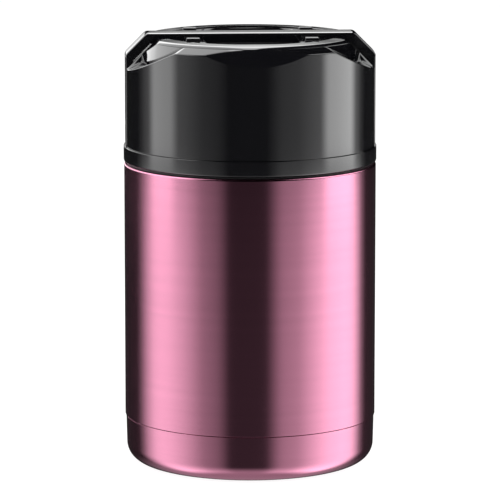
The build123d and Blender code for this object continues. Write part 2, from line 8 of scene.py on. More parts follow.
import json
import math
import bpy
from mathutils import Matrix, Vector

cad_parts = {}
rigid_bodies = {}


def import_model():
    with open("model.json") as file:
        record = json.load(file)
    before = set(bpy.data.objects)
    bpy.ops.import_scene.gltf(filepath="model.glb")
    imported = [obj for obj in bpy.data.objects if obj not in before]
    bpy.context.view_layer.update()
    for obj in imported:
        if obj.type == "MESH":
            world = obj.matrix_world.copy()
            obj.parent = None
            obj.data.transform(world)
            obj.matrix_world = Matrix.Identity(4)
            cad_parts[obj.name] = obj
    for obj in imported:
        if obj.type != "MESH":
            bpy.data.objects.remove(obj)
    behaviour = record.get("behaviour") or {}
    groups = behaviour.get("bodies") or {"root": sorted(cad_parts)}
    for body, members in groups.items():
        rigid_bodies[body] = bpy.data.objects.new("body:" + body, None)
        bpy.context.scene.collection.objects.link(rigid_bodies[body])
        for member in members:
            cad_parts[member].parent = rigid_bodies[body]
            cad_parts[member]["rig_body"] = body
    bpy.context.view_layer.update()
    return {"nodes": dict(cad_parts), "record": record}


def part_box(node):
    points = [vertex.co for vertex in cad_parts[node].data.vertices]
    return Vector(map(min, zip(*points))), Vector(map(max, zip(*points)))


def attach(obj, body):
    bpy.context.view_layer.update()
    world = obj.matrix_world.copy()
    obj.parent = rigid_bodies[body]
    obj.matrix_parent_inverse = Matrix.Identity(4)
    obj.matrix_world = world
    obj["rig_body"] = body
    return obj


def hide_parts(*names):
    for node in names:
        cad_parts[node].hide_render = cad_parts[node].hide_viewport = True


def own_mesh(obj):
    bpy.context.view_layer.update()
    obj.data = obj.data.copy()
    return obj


bl_info = {
    "name": "Insulated Food Jar",
    "version": (1, 0, 0),
    "blender": (4, 5, 0),
    "location": "3D View > Sidebar > Food Jar",
    "description": "Models an insulated food jar with a screw stopper and a lid with a pull-up strap",
    "category": "Add Mesh",
}

import bmesh
import bpy
from mathutils import Matrix, Vector

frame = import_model()

MM = 0.001


def low(node):
    """Lowest height of a frame node, in millimetres."""
    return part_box(node)[0].z / MM


def high(node):
    """Highest height of a frame node, in millimetres."""
    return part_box(node)[1].z / MM


def reach(node):
    """How far a frame node reaches from the jar's axis, in millimetres."""
    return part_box(node)[1].x / MM


# ---------------------------------------------------------------- sizes, in millimetres
# Gaps where pieces rest on one another, fit tightly, or move
JOINT_GAP = 0.02
FIT_GAP = 0.05
RUN_GAP = 0.3

# Steel jar
STEEL_WALL = 0.8
BODY_RADIUS = reach("outer_shell")
BODY_FOOT = low("outer_shell")
BODY_TOP = low("neck_collar") - JOINT_GAP
BODY_BORE = BODY_RADIUS - STEEL_WALL
SHELL_NECK_TOP = high("outer_shell")
SHELL_NECK_RADIUS = 44.6
SHOULDER_FILLET = 1.4
SHOULDER_EDGE = 0.7
BASE_TOP_RADIUS = reach("base_cap")
BASE_FOOT_RADIUS = BASE_TOP_RADIUS - 0.5
BASE_LAP_RADIUS = BODY_BORE - FIT_GAP
BASE_LAP_TOP = high("base_cap")
SEAM_GAP = 0.4
BASE_TOP = BODY_FOOT - SEAM_GAP
BASE_FILLET = 8.0
RECESS_RADIUS = 36.0
RECESS_DEPTH = 1.6
PLUG_HOLE = 1.5
DISC_RADIUS = reach("base_disc")
VESSEL_RADIUS = reach("inner_vessel") - STEEL_WALL
VESSEL_FLOOR = low("inner_vessel") + STEEL_WALL
VESSEL_FILLET = 8.0
LIP_TOP = high("inner_vessel")
NECK_RADIUS = 41.6
SHOULDER_FOOT = 119.2
SHOULDER_TOP = BODY_TOP - STEEL_WALL
COLLAR_BORE = SHELL_NECK_RADIUS + FIT_GAP
COLLAR_RADIUS = 46.55
COLLAR_FLANGE = reach("neck_collar")
COLLAR_FLANGE_TOP = low("neck_collar") + 0.8
COLLAR_TOP = high("neck_collar")
LIP_ROUNDING = 0.39
SEAL_ROUNDING = 0.42

# Threads
THREAD_PITCH = 4.0
THREAD_TURNS = 1.25
THREAD_DEPTH = 0.8
THREAD_SINK = 0.3
THREAD_ROOT = 2.4
THREAD_CREST = 1.0
RUN_OUT_SHARE = 0.08
RUN_OUT_HEIGHT = 0.12
NECK_THREAD = 135.2
PLUG_THREAD = 133.2
LINER_THREAD = 134.62
COLLAR_THREAD = 136.62

# Stopper
PLUG_RADIUS = 39.7
PLUG_BORE = 37.7
STOPPER_RADIUS = reach("stopper_shell")
STOPPER_FLANGE_LOW = high("stopper_seal") + JOINT_GAP
STOPPER_FLANGE_TOP = high("stopper_shell")
VENT_RADIUS = 3.1
VENT_COLLAR = 5.1
BASE_PLATE_TOP = low("stopper_base") + 2.2
CAP_FLANGE = reach("stopper_cap")
CAP_LOW = low("stopper_cap")
CAP_TOP = high("stopper_cap")
CAP_WALL = 2.0
GRIP_RADIUS = 37.0
GRIP_STEP = CAP_LOW + CAP_WALL
GRIP_BORE = 33.0
BUTTON_RADIUS = reach("relief_button")
BUTTON_BORE = BUTTON_RADIUS + RUN_GAP
BUTTON_LOW = low("relief_button")
BUTTON_TOP = high("relief_button")
BUTTON_WALL = 1.6
BUTTON_TRAVEL = 2.5
BUTTON_WELL = BUTTON_LOW - BUTTON_TRAVEL - RUN_GAP
STEM_RADIUS = reach("valve_stem")
STEM_BORE = STEM_RADIUS + FIT_GAP
SPRING_RADIUS = 4.6
SPRING_WIRE = 0.45
SPRING_TURNS = 3.5
SPRING_REACH = 6.0

# Lid
BAND_RADIUS = reach("lid_liner")
BAND_LOW = low("lid_liner")
BAND_TOP = low("lid_shell") - JOINT_GAP
BAND_WALL = 2.2
JOINT_GROOVE = 0.1
JOINT_INSET = 0.3
LID_LOW = low("lid_shell")
LID_TOP = high("lid_shell")
LID_RADIUS = BAND_RADIUS - 0.8
LID_WALL = 2.6
LINER_THREAD_BORE = 48.45
LINER_SKIRT = 49.55
LINER_BORE = 46.6
LINER_UPPER = 47.7
LINER_STEP = high("lid_seal") + JOINT_GAP
LINER_TOP = high("lid_liner")
LINER_WALL = 1.1
FRONT_FACET_EDGE = LID_TOP - 8.0
FRONT_FACET_SLOPE = 1.08
SIDE_FACET_EDGE = LID_TOP - 14.4
SIDE_FACET_SLOPE = 0.55
CORE_RADIUS = 48.0
CORE_EDGE = LID_TOP - 1.1
LAND_RADIUS = 44.5
OPENING_RADIUS = 38.3
LAND_THICKNESS = 2.2
THROAT_RADIUS = 40.2

# Handle strap and its pins
STRAP_TOP = high("handle_strap")
STRAP_LOW = low("handle_strap")
STRAP_WIDTH = 14.0
STRAP_THICKNESS = 4.4
STRAP_BEVEL = 9.1
STRAP_CORNER = 3.0
STRAP_CROWN = 0.24
STRAP_CROWN_WIDTH = 3.4
STRAP_CROWN_POWER = 8
ARM_THICKNESS = 2.7
SADDLE_WALL = 1.8
PAD_WALL = 1.55
PIN_HEIGHT = (low("handle_pin_left") + high("handle_pin_left")) / 2
PIN_RADIUS = 1.7
PIN_HEAD = 3.1
PIN_HEAD_THICKNESS = 1.0
PIN_END = reach("handle_pin_right")
PIN_FOOT = 49.9
SLOT_TRAVEL = 18.0
HEAD_POCKET = 53.1

# Lid shell's surfaces, and the channel and saddle for the strap
CREASE = 0.7
BROW_SLOPE = 0.31
BROW_DROP = 0.06
CORE_DRAFT = 0.12
LAND_FALL = 0.03
DOME_DROP = 0.9
ARC_RADIUS = ((CORE_RADIUS - LAND_RADIUS) ** 2 + DOME_DROP**2) / (2 * DOME_DROP)
CHANNEL_SEAT = STRAP_THICKNESS + RUN_GAP
CHANNEL_FLOOR = ARM_THICKNESS + RUN_GAP
CHANNEL_HALF = STRAP_WIDTH / 2 + RUN_GAP
SEAT_CLEARANCE = 0.03
SADDLE_SEAT = CHANNEL_SEAT + SADDLE_WALL
SADDLE_HALF = CHANNEL_HALF + SADDLE_WALL
SADDLE_FACE = LID_RADIUS - CHANNEL_FLOOR - PAD_WALL
BEYOND = 2 * LID_RADIUS

# Rows of points on the lid's outside, and how far they stay from the edges between its parts
FACET_ROWS = 22
DOME_ROWS = 14
LAND_ROWS = 5
EDGE_ROOM = 0.55
FOOT_ROOM = 0.25
DOME_ROOM = 0.35
LAND_ROOM = 0.4

# Tray in the lid's top
TRAY_TOP = LID_TOP - 0.6
TRAY_RADIUS = OPENING_RADIUS - RUN_GAP
TRAY_THICKNESS = 2.0
TRAY_FLANGE = reach("top_tray")
TRAY_FLANGE_THICKNESS = 1.98
TRAY_FLANGE_TOP = LID_TOP - LAND_THICKNESS - JOINT_GAP
WELL_HALF_WIDTH = 20.0
WELL_HALF_LENGTH = 32.0
WELL_CORNER = 8.0
WELL_WALL = 1.8
WELL_BASE = low("top_tray")
WELL_FLOOR = WELL_BASE + WELL_WALL
PAD_X = 25.6
PAD_Y = 21.0


# ---------------------------------------------------------------- sizes and colours to change
class FoodJarSizes(bpy.types.PropertyGroup):
    """Sizes of the details that the frame leaves open."""

    segments: bpy.props.IntProperty(
        name="Turned Segments", description="Faces round each turned piece", default=256, min=48
    )
    lid_segments: bpy.props.IntProperty(
        name="Lid Segments", description="Faces round the faceted lid", default=900, min=180
    )
    lid_edge: bpy.props.FloatProperty(
        name="Lid Edge", description="Rounding of the lid's moulded edges",
        default=0.35 * MM, min=0.05 * MM, unit="LENGTH", precision=5,
    )
    strap_edge: bpy.props.FloatProperty(
        name="Strap Edge", description="Rounding of the strap's upper long edges",
        default=0.9 * MM, min=0.1 * MM, unit="LENGTH", precision=5,
    )
    grip_scallops: bpy.props.IntProperty(
        name="Grip Scallops", description="Finger scallops round the stopper's grip", default=12, min=3
    )
    scallop_depth: bpy.props.FloatProperty(
        name="Scallop Depth", description="How deep each finger scallop goes",
        default=2.0 * MM, min=0.0, unit="LENGTH", precision=5,
    )
    rest_pad_height: bpy.props.FloatProperty(
        name="Rest Pad Height", description="Height of the four pads on the tray",
        default=1.7 * MM, min=0.2 * MM, unit="LENGTH", precision=5,
    )


def colour_choice(name, description, default):
    """A colour that a user can change."""
    return bpy.props.FloatVectorProperty(
        name=name, description=description, default=default, size=3, subtype="COLOR", min=0.0, max=1.0
    )


class FoodJarColours(bpy.types.PropertyGroup):
    """Colours of the finishes, and of the floor that the jar stands on."""

    pink_lacquer: colour_choice("Lacquer", "Metallic lacquer on the body", (0.82, 0.325, 0.485))
    bare_steel: colour_choice("Steel", "Bare stainless steel", (0.62, 0.61, 0.60))
    black_gloss: colour_choice("Gloss Plastic", "Polished plastic of the lid", (0.004, 0.004, 0.005))
    black_satin: colour_choice("Satin Plastic", "Satin plastic of the stopper", (0.022, 0.022, 0.024))
    grey_plastic: colour_choice("Grey Plastic", "Relief button", (0.30, 0.30, 0.31))
    silicone: colour_choice("Silicone", "Seals", (0.72, 0.71, 0.69))
    foam_white: colour_choice("Foam", "Insulation in the stopper", (0.85, 0.85, 0.83))
    floor: colour_choice("Floor", "Surface under the jar", (0.85, 0.85, 0.85))


# ---------------------------------------------------------------- node helpers
def fill(tree, node, values):
    """Fills a node's inputs, by name or number, with numbers or sockets."""
    for key, value in values.items():
        if isinstance(value, bpy.types.NodeSocket):
            tree.links.new(value, node.inputs[key])
        else:
            node.inputs[key].default_value = value


def add(tree, kind, values=None, **settings):
    """Puts a node in a tree, with its settings and what its inputs hold."""
    node = tree.nodes.new(kind)
    for name, value in settings.items():
        setattr(node, name, value)
    fill(tree, node, values or {})
    return node


def maths(tree, operation, *values, clamp=False):
    """The result of a Math node, in a shader or a geometry tree."""
    node = add(tree, "ShaderNodeMath", dict(enumerate(values)), operation=operation, use_clamp=clamp)
    return node.outputs[0]


def ramp(tree, value, start, end, low_value=0.0, high_value=1.0):
    """Maps a value smoothly from one range to another."""
    node = add(
        tree, "ShaderNodeMapRange",
        {"Value": value, "From Min": start, "From Max": end, "To Min": low_value, "To Max": high_value},
        interpolation_type="SMOOTHSTEP",
    )
    return node.outputs[0]


def blend_colour(tree, factor, first, second):
    """Mixes two colours by a factor."""
    node = add(tree, "ShaderNodeMix", {0: factor, 6: first, 7: second}, data_type="RGBA")
    return node.outputs[2]


def noise(tree, place, scale, detail, **more):
    """The value of a noise texture. more fills further inputs by name."""
    values = {"Vector": place, "Scale": scale, "Detail": detail, **more}
    return add(tree, "ShaderNodeTexNoise", values).outputs[0]


def own_place(tree):
    """A point's coordinates on its own piece."""
    return add(tree, "ShaderNodeTexCoord").outputs["Object"]


def opaque(colour, share=1.0, lift=0.0):
    """A colour with each channel scaled and lifted, at most white, for a colour input."""
    return [min(1.0, share * channel + lift) for channel in colour] + [1.0]


def open_group(name, kind, inputs, outputs):
    """A node group with named inputs and outputs, and its input and output nodes."""
    group = bpy.data.node_groups.new(name, kind)
    for label, socket_type, default in inputs:
        socket = group.interface.new_socket(name=label, in_out="INPUT", socket_type=socket_type)
        if default is not None:
            socket.default_value = default
    for label, socket_type in outputs:
        group.interface.new_socket(name=label, in_out="OUTPUT", socket_type=socket_type)
    return group, group.nodes.new("NodeGroupInput").outputs, group.nodes.new("NodeGroupOutput").inputs


FLOAT, VECTOR = "NodeSocketFloat", "NodeSocketVector"
GEOMETRY, MATERIAL = "NodeSocketGeometry", "NodeSocketMaterial"


# ---------------------------------------------------------------- shared surface effects
def make_surface_grain():
    """Fine relief and a matching change of tone: brushing where it is stretched, moulding where not."""
    group, given, out = open_group(
        "Surface Grain", "ShaderNodeTree",
        [("Stretch", VECTOR, (1.0, 1.0, 1.0)), ("Size", FLOAT, 0.001), ("Roughness", FLOAT, 0.55)],
        [("Height", FLOAT), ("Tone", FLOAT)],
    )
    spread = add(
        group, "ShaderNodeVectorMath", {0: own_place(group), 1: given["Stretch"]}, operation="MULTIPLY"
    ).outputs[0]
    scale = maths(group, "DIVIDE", 1.0, given["Size"])
    fine = noise(group, spread, scale, 3.0, Roughness=given["Roughness"])
    broad = noise(group, spread, maths(group, "MULTIPLY", scale, 0.13), 2.0)
    group.links.new(fine, out["Height"])
    group.links.new(broad, out["Tone"])
    return group


def make_handling_marks():
    """Soft smudges and hair-fine rub marks, as a number that moves a finish's roughness."""
    group, given, out = open_group(
        "Handling Marks", "ShaderNodeTree",
        [("Base", FLOAT, 0.2), ("Spread", FLOAT, 0.05), ("Size", FLOAT, 0.02)],
        [("Value", FLOAT)],
    )
    place = own_place(group)
    scale = maths(group, "DIVIDE", 1.0, given["Size"])
    smudge = noise(group, place, scale, 4.0, Distortion=0.6)
    slanted = add(
        group, "ShaderNodeMapping",
        {"Vector": place, "Rotation": (0.5, 0.9, 0.3), "Scale": (1.0, 14.0, 1.0)},
    ).outputs[0]
    rub = noise(group, slanted, maths(group, "MULTIPLY", scale, 4.0), 2.0)
    marks = maths(group, "ADD", smudge, ramp(group, rub, 0.62, 0.78, 0.0, 0.6))
    centred = maths(group, "SUBTRACT", marks, 0.5)
    moved = maths(group, "MULTIPLY_ADD", centred, given["Spread"], given["Base"])
    group.links.new(maths(group, "MAXIMUM", moved, 0.02), out["Value"])
    return group


def make_edge_wear_and_crease_shade():
    """Masks for convex edges, broken up by a fine noise, and a painted-shade mask for concave creases and
    tight seams.
    """
    group, given, out = open_group(
        "Edge Wear", "ShaderNodeTree",
        [("Amount", FLOAT, 0.3), ("Size", FLOAT, 0.003)], [("Mask", FLOAT), ("Seam", FLOAT)],
    )
    pointed = add(group, "ShaderNodeNewGeometry").outputs["Pointiness"]
    specks = noise(group, own_place(group), maths(group, "DIVIDE", 1.0, given["Size"]), 3.0)
    edge = ramp(group, pointed, 0.52, 0.60)
    broken = maths(group, "MULTIPLY", edge, ramp(group, specks, 0.35, 0.65))
    group.links.new(maths(group, "MULTIPLY", broken, given["Amount"], clamp=True), out["Mask"])
    # Painted shade: concave places such as creases and seams get a mask that darkens them
    group.links.new(ramp(group, pointed, 0.45, 0.485, 1.0, 0.0), out["Seam"])
    return group


def make_settled_dust():
    """A thin mask of dust on the faces that look up."""
    group, given, out = open_group(
        "Settled Dust", "ShaderNodeTree",
        [("Amount", FLOAT, 0.1), ("Size", FLOAT, 0.0006)], [("Mask", FLOAT)],
    )
    normal = add(group, "ShaderNodeNewGeometry").outputs["Normal"]
    facing = add(group, "ShaderNodeSeparateXYZ", {0: normal}).outputs["Z"]
    specks = noise(group, own_place(group), maths(group, "DIVIDE", 1.0, given["Size"]), 2.0)
    upward = ramp(group, facing, 0.6, 1.0)
    speckled = maths(group, "MULTIPLY", upward, ramp(group, specks, 0.55, 0.75))
    group.links.new(maths(group, "MULTIPLY", speckled, given["Amount"], clamp=True), out["Mask"])
    return group


# What wear, painted crease shade and dust make of a finish's colour, and what wear and dust add to its
# roughness
RUBBED_SHARE = 0.6
RUBBED_LIFT = 0.05
RUBBED_ROUGHNESS = 0.25
# Painted shade: concave creases keep only this share of the colour
CREASE_SHADE_SHARE = 0.03
DUST_COLOUR = (0.42, 0.41, 0.40, 1.0)
DUST_ROUGHNESS = 0.5

COAT_ROUGHNESS = 0.03
COAT_IOR = 1.6
SOFT_REACH = (0.004, 0.003, 0.002)


def make_finish(name, effects, colour, rough, grain, metallic=0.0, coat=0.0, ior=1.5, wear=0.0,
                dust=0.0, tone=0.06, soft=0.0):
    """A finish. rough is (base, spread); grain is (stretch, size, height), with sizes in metres."""
    material = bpy.data.materials.new(name)
    material.use_nodes = True
    tree = material.node_tree

    def effect(kind, values):
        return add(tree, "ShaderNodeGroup", values, node_tree=effects[kind]).outputs

    stretch, size, height = grain
    surface = effect("grain", {"Stretch": stretch, "Size": size})
    base = blend_colour(tree, surface["Tone"], opaque(colour, 1.0 - tone), opaque(colour, 1.0 + tone))
    roughness = effect("marks", {"Base": rough[0], "Spread": rough[1]})["Value"]
    if wear:
        worn_and_shaded = effect("wear", {"Amount": wear})
        base = blend_colour(tree, worn_and_shaded["Mask"], base, opaque(colour, RUBBED_SHARE, RUBBED_LIFT))
        # Painted shade: concave creases darken to near black wherever edge wear is on
        base = blend_colour(tree, worn_and_shaded["Seam"], base, opaque(colour, CREASE_SHADE_SHARE))
        roughness = maths(tree, "MULTIPLY_ADD", worn_and_shaded["Mask"], RUBBED_ROUGHNESS, roughness)
    if dust:
        settled = effect("dust", {"Amount": dust})
        base = blend_colour(tree, settled["Mask"], base, DUST_COLOUR)
        roughness = maths(tree, "MULTIPLY_ADD", settled["Mask"], DUST_ROUGHNESS, roughness)
    bump = add(
        tree, "ShaderNodeBump", {"Height": surface["Height"], "Strength": 1.0, "Distance": height}
    )
    fill(tree, tree.nodes["Principled BSDF"], {
        "Base Color": base, "Roughness": roughness, "Normal": bump.outputs[0], "Metallic": metallic,
        "IOR": ior, "Coat Weight": coat, "Coat Roughness": COAT_ROUGHNESS, "Coat IOR": COAT_IOR,
        "Subsurface Weight": soft, "Subsurface Radius": SOFT_REACH, "Subsurface Scale": 1.0,
    })


ROUND_THE_JAR = (1.0, 1.0, 40.0)
EVEN = (1.0, 1.0, 1.0)


def make_finishes(colours):
    """Makes every finish on the jar, one for each slot in the record."""
    effects = {
        "grain": make_surface_grain(), "marks": make_handling_marks(),
        # The wear group also gives the painted shade in concave creases
        "wear": make_edge_wear_and_crease_shade(), "dust": make_settled_dust(),
    }
    settings = {
        "pink_lacquer": dict(
            rough=(0.16, 0.03), grain=(ROUND_THE_JAR, 0.012, 3e-7), metallic=1.0, coat=0.12, wear=0.15,
            tone=0.05,
        ),
        "bare_steel": dict(
            rough=(0.30, 0.06), grain=(ROUND_THE_JAR, 0.010, 1.2e-6), metallic=1.0, tone=0.10
        ),
        "black_gloss": dict(
            rough=(0.08, 0.04), grain=(EVEN, 0.0030, 4e-7), ior=1.6, coat=1.0, wear=0.12, dust=0.02
        ),
        "black_satin": dict(
            rough=(0.42, 0.08), grain=(EVEN, 0.0006, 6e-6), wear=0.2, dust=0.04, tone=0.15
        ),
        "grey_plastic": dict(rough=(0.38, 0.08), grain=(EVEN, 0.0007, 5e-6), tone=0.08),
        "silicone": dict(rough=(0.45, 0.10), grain=(EVEN, 0.0010, 5e-6), ior=1.41, soft=0.35),
        "foam_white": dict(rough=(0.85, 0.08), grain=(EVEN, 0.0012, 8e-5), soft=0.1, tone=0.08),
    }
    for slot, values in settings.items():
        make_finish(slot + "_finish", effects, list(getattr(colours, slot)), **values)


def finish_of(slot):
    """The finish made for one of the record's slots."""
    return bpy.data.materials[slot + "_finish"]


SLOT_OF_NODE = {part["node"]: part["material_slot"] for part in frame["record"]["subparts"]}


# ---------------------------------------------------------------- mesh helpers
SUPPORT = 0.15
SUPPORT_SHARE = 0.2
ARC_STEPS = 6
FINE_SEGMENTS = 360
ON_AXIS = 1e-6


def chosen():
    """The sizes that can be changed in the panel."""
    return bpy.context.scene.food_jar_sizes


def rounded(corners, closed=True, steps=ARC_STEPS):
    """Points of an outline whose corners are (across, up) or (across, up, rounding).

    Beside each arc a further point holds the long run next to it straight in shading.
    """
    points = []
    count = len(corners)
    for number, corner in enumerate(corners):
        here = Vector(corner[:2])
        radius = corner[2] if len(corner) > 2 else 0.0
        if radius == 0.0 or (not closed and number in (0, count - 1)):
            points.append(here)
            continue
        before = Vector(corners[number - 1][:2]) - here
        after = Vector(corners[(number + 1) % count][:2]) - here
        back, onward = before.normalized(), after.normalized()
        half = before.angle(after) / 2
        set_back = radius / math.tan(half)
        middle = here + (back + onward).normalized() * radius / math.sin(half)
        start = here + back * set_back
        end = here + onward * set_back
        first = math.atan2(start.y - middle.y, start.x - middle.x)
        sweep = math.atan2(end.y - middle.y, end.x - middle.x) - first
        sweep = (sweep + math.pi) % (2 * math.pi) - math.pi
        points.append(here + back * (set_back + min(SUPPORT, SUPPORT_SHARE * before.length)))
        for step in range(steps + 1):
            angle = first + sweep * step / steps
            points.append(middle + radius * Vector((math.cos(angle), math.sin(angle))))
        points.append(here + onward * (set_back + min(SUPPORT, SUPPORT_SHARE * after.length)))
    return points


def new_piece(name, shape):
    """An object for a bmesh whose points are in millimetres."""
    bmesh.ops.scale(shape, vec=(MM, MM, MM), verts=shape.verts)
    mesh = bpy.data.meshes.new(name)
    shape.to_mesh(mesh)
    shape.free()
    piece = bpy.data.objects.new(name, mesh)
    bpy.context.scene.collection.objects.link(piece)
    return piece


def skinned(name, shape, rings, closed=False):
    """A piece whose faces join each ring of points to the next.

    A ring may be one point. Where the last ring isn't joined to the first, both get a cap.
    """
    row = rings + rings[:1] if closed else rings
    for ring, following in zip(row, row[1:]):
        count = max(len(ring), len(following))
        for step in range(count):
            after = (step + 1) % count
            corners = tuple(dict.fromkeys((
                ring[step % len(ring)], ring[after % len(ring)],
                following[after % len(following)], following[step % len(following)],
            )))
            if len(corners) > 2:
                shape.faces.new(corners)
    if not closed:
        shape.faces.new(rings[0])
        shape.faces.new(rings[-1])
    bmesh.ops.recalc_face_normals(shape, faces=shape.faces)
    return new_piece(name, shape)


def round_the_axis(radius, angle, height):
    """A place at an angle from the front, counted towards the right."""
    return radius * math.sin(angle), -radius * math.cos(angle), height


def turned(name, corners, segments=None, steps=ARC_STEPS):
    """A closed outline of (radius, height, rounding) turned about the jar's axis."""
    segments = segments or chosen().segments
    shape = bmesh.new()
    rings = []
    for point in rounded(corners, steps=steps):
        if point.x < ON_AXIS:
            rings.append([shape.verts.new((0, 0, point.y))])
            continue
        rings.append([
            shape.verts.new(round_the_axis(point.x, 2 * math.pi * step / segments, point.y))
            for step in range(segments)
        ])
    return skinned(name, shape, rings, closed=True)


def slab(name, levels, half_x, half_y, corner, steps=8):
    """A solid with a rounded-rectangle outline at each level, given as (height, inset)."""
    shape = bmesh.new()
    rings = []
    for height, inset in levels:
        radius = max(corner - inset, 0.01)
        ring = []
        for quarter, (side_x, side_y) in enumerate(((1, 1), (-1, 1), (-1, -1), (1, -1))):
            centre_x = side_x * (half_x - inset - radius)
            centre_y = side_y * (half_y - inset - radius)
            for step in range(steps + 1):
                angle = math.pi / 2 * (quarter + step / steps)
                ring.append(shape.verts.new((
                    centre_x + radius * math.cos(angle), centre_y + radius * math.sin(angle), height
                )))
        rings.append(ring)
    return skinned(name, shape, rings)


def box_tool(name, levels, half_x, half_y):
    """A square-cornered slab for cutting or joining."""
    return slab(name, [(height, 0.0) for height in levels], half_x, half_y, 0.01, steps=1)


def prism(name, outline, half_depth):
    """A solid with an outline seen from the front, as deep in front of the axis as behind it."""
    shape = bmesh.new()
    rings = [[shape.verts.new((x, y, z)) for x, z in outline] for y in (-half_depth, half_depth)]
    return skinned(name, shape, rings)


def baked(piece):
    """Turns a piece with modifiers into a plain mesh."""
    depsgraph = bpy.context.evaluated_depsgraph_get()
    mesh = bpy.data.meshes.new_from_object(piece.evaluated_get(depsgraph), depsgraph=depsgraph)
    piece.modifiers.clear()
    spent, piece.data = piece.data, mesh
    bpy.data.meshes.remove(spent)
    mesh.name = piece.name
    return piece


def combine(piece, *tools, how="DIFFERENCE"):
    """Cuts tools from a piece, or joins them to it, and uses them up."""
    for tool in tools:
        modifier = piece.modifiers.new(how, "BOOLEAN")
        modifier.operation, modifier.object, modifier.solver = how, tool, "EXACT"
    baked(piece)
    for tool in tools:
        spent = tool.data
        bpy.data.objects.remove(tool)
        bpy.data.meshes.remove(spent)
    return piece


def soften(piece, width, sharpest=35.0, segments=2):
    """Rounds the hard edges of a piece."""
    modifier = piece.modifiers.new("Soft Edges", "BEVEL")
    modifier.width, modifier.segments = width * MM, segments
    modifier.limit_method, modifier.angle_limit = "ANGLE", math.radians(sharpest)
    modifier.use_clamp_overlap = True
    modifier.miter_outer = "MITER_ARC"
    return baked(piece)


SHARP_EDGE = math.radians(38.0)


def dress(piece, node, weighted=False):
    """Shades a finished piece, gives it its finish, and puts it in the place of a frame node."""
    shape = bmesh.new()
    shape.from_mesh(piece.data)
    bmesh.ops.remove_doubles(shape, verts=shape.verts, dist=1e-7)
    for face in shape.faces:
        face.smooth = True
    for edge in shape.edges:
        edge.smooth = len(edge.link_faces) == 2 and edge.calc_face_angle(0.0) < SHARP_EDGE
    shape.to_mesh(piece.data)
    shape.free()
    if weighted:
        modifier = piece.modifiers.new("Flat Faces", "WEIGHTED_NORMAL")
        modifier.keep_sharp = True
        modifier.weight = 80
        baked(piece)
    slot = SLOT_OF_NODE[node]
    piece.data.materials.clear()
    piece.data.materials.append(finish_of(slot))
    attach(piece, frame["nodes"][node]["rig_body"])
    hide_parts(node)


# ---------------------------------------------------------------- geometry node trees
def finish_tree(tree, geometry, given, out, lift=None):
    """Ends a tree with real geometry in its material, lifted where a height is given."""
    if lift is not None:
        rise = add(tree, "ShaderNodeCombineXYZ", {"Z": lift}).outputs[0]
        geometry = add(tree, "GeometryNodeTransform", {0: geometry, "Translation": rise}).outputs[0]
    real = add(tree, "GeometryNodeRealizeInstances", {0: geometry})
    surfaced = add(tree, "GeometryNodeSetMaterial", {0: real.outputs[0], "Material": given["Material"]})
    tree.links.new(surfaced.outputs[0], out["Geometry"])


def helix(tree, given, height, steps):
    """A curve that climbs round the axis, with its radius and turns as the tree is given them."""
    return add(
        tree, "GeometryNodeCurveSpiral",
        {"Resolution": steps, "Rotations": given["Turns"], "Start Radius": given["Radius"],
         "End Radius": given["Radius"], "Height": height, "Reverse": True},
    ).outputs[0]


def swept(tree, curve, profile):
    """A closed solid from a profile drawn along a curve."""
    values = {"Curve": curve, "Profile Curve": profile, "Fill Caps": True}
    return add(tree, "GeometryNodeCurveToMesh", values).outputs[0]


def make_thread_tree():
    """A screw thread's ridge that climbs round the axis and runs out at both ends."""
    tree, given, out = open_group(
        "Thread Ridge", "GeometryNodeTree",
        [("Radius", FLOAT, 0.04), ("Start Height", FLOAT, 0.0), ("Pitch", FLOAT, THREAD_PITCH * MM),
         ("Turns", FLOAT, THREAD_TURNS), ("Root Width", FLOAT, THREAD_ROOT * MM),
         ("Crest Width", FLOAT, THREAD_CREST * MM), ("Depth", FLOAT, THREAD_DEPTH * MM),
         ("Outward", FLOAT, 1.0), ("Material", MATERIAL, None)],
        [("Geometry", GEOMETRY)],
    )
    spiral = helix(tree, given, maths(tree, "MULTIPLY", given["Turns"], given["Pitch"]), 128)
    upright = add(tree, "GeometryNodeSetCurveNormal", {0: spiral}, mode="Z_UP")
    along = add(tree, "GeometryNodeSplineParameter").outputs["Factor"]
    run_in = ramp(tree, along, 0.0, RUN_OUT_SHARE, RUN_OUT_HEIGHT, 1.0)
    run_out = ramp(tree, along, 1.0 - RUN_OUT_SHARE, 1.0, 1.0, RUN_OUT_HEIGHT)
    full = add(
        tree, "GeometryNodeSetCurveRadius",
        {0: upright.outputs[0], "Radius": maths(tree, "MULTIPLY", run_in, run_out)},
    )
    section = add(
        tree, "GeometryNodeCurvePrimitiveQuadrilateral",
        {"Bottom Width": given["Root Width"], "Top Width": given["Crest Width"],
         "Height": given["Depth"], "Offset": 0.0},
        mode="TRAPEZOID",
    ).outputs[0]
    shift = add(tree, "ShaderNodeCombineXYZ", {"Y": maths(tree, "DIVIDE", given["Depth"], 2.0)})
    seated = add(tree, "GeometryNodeTransform", {0: section, "Translation": shift.outputs[0]})
    quarter = maths(tree, "MULTIPLY", given["Outward"], -math.pi / 2)
    turn = add(tree, "ShaderNodeCombineXYZ", {"Z": quarter})
    faced = add(tree, "GeometryNodeTransform", {0: seated.outputs[0], "Rotation": turn.outputs[0]})
    ridge = swept(tree, full.outputs[0], faced.outputs[0])
    finish_tree(tree, ridge, given, out, lift=given["Start Height"])


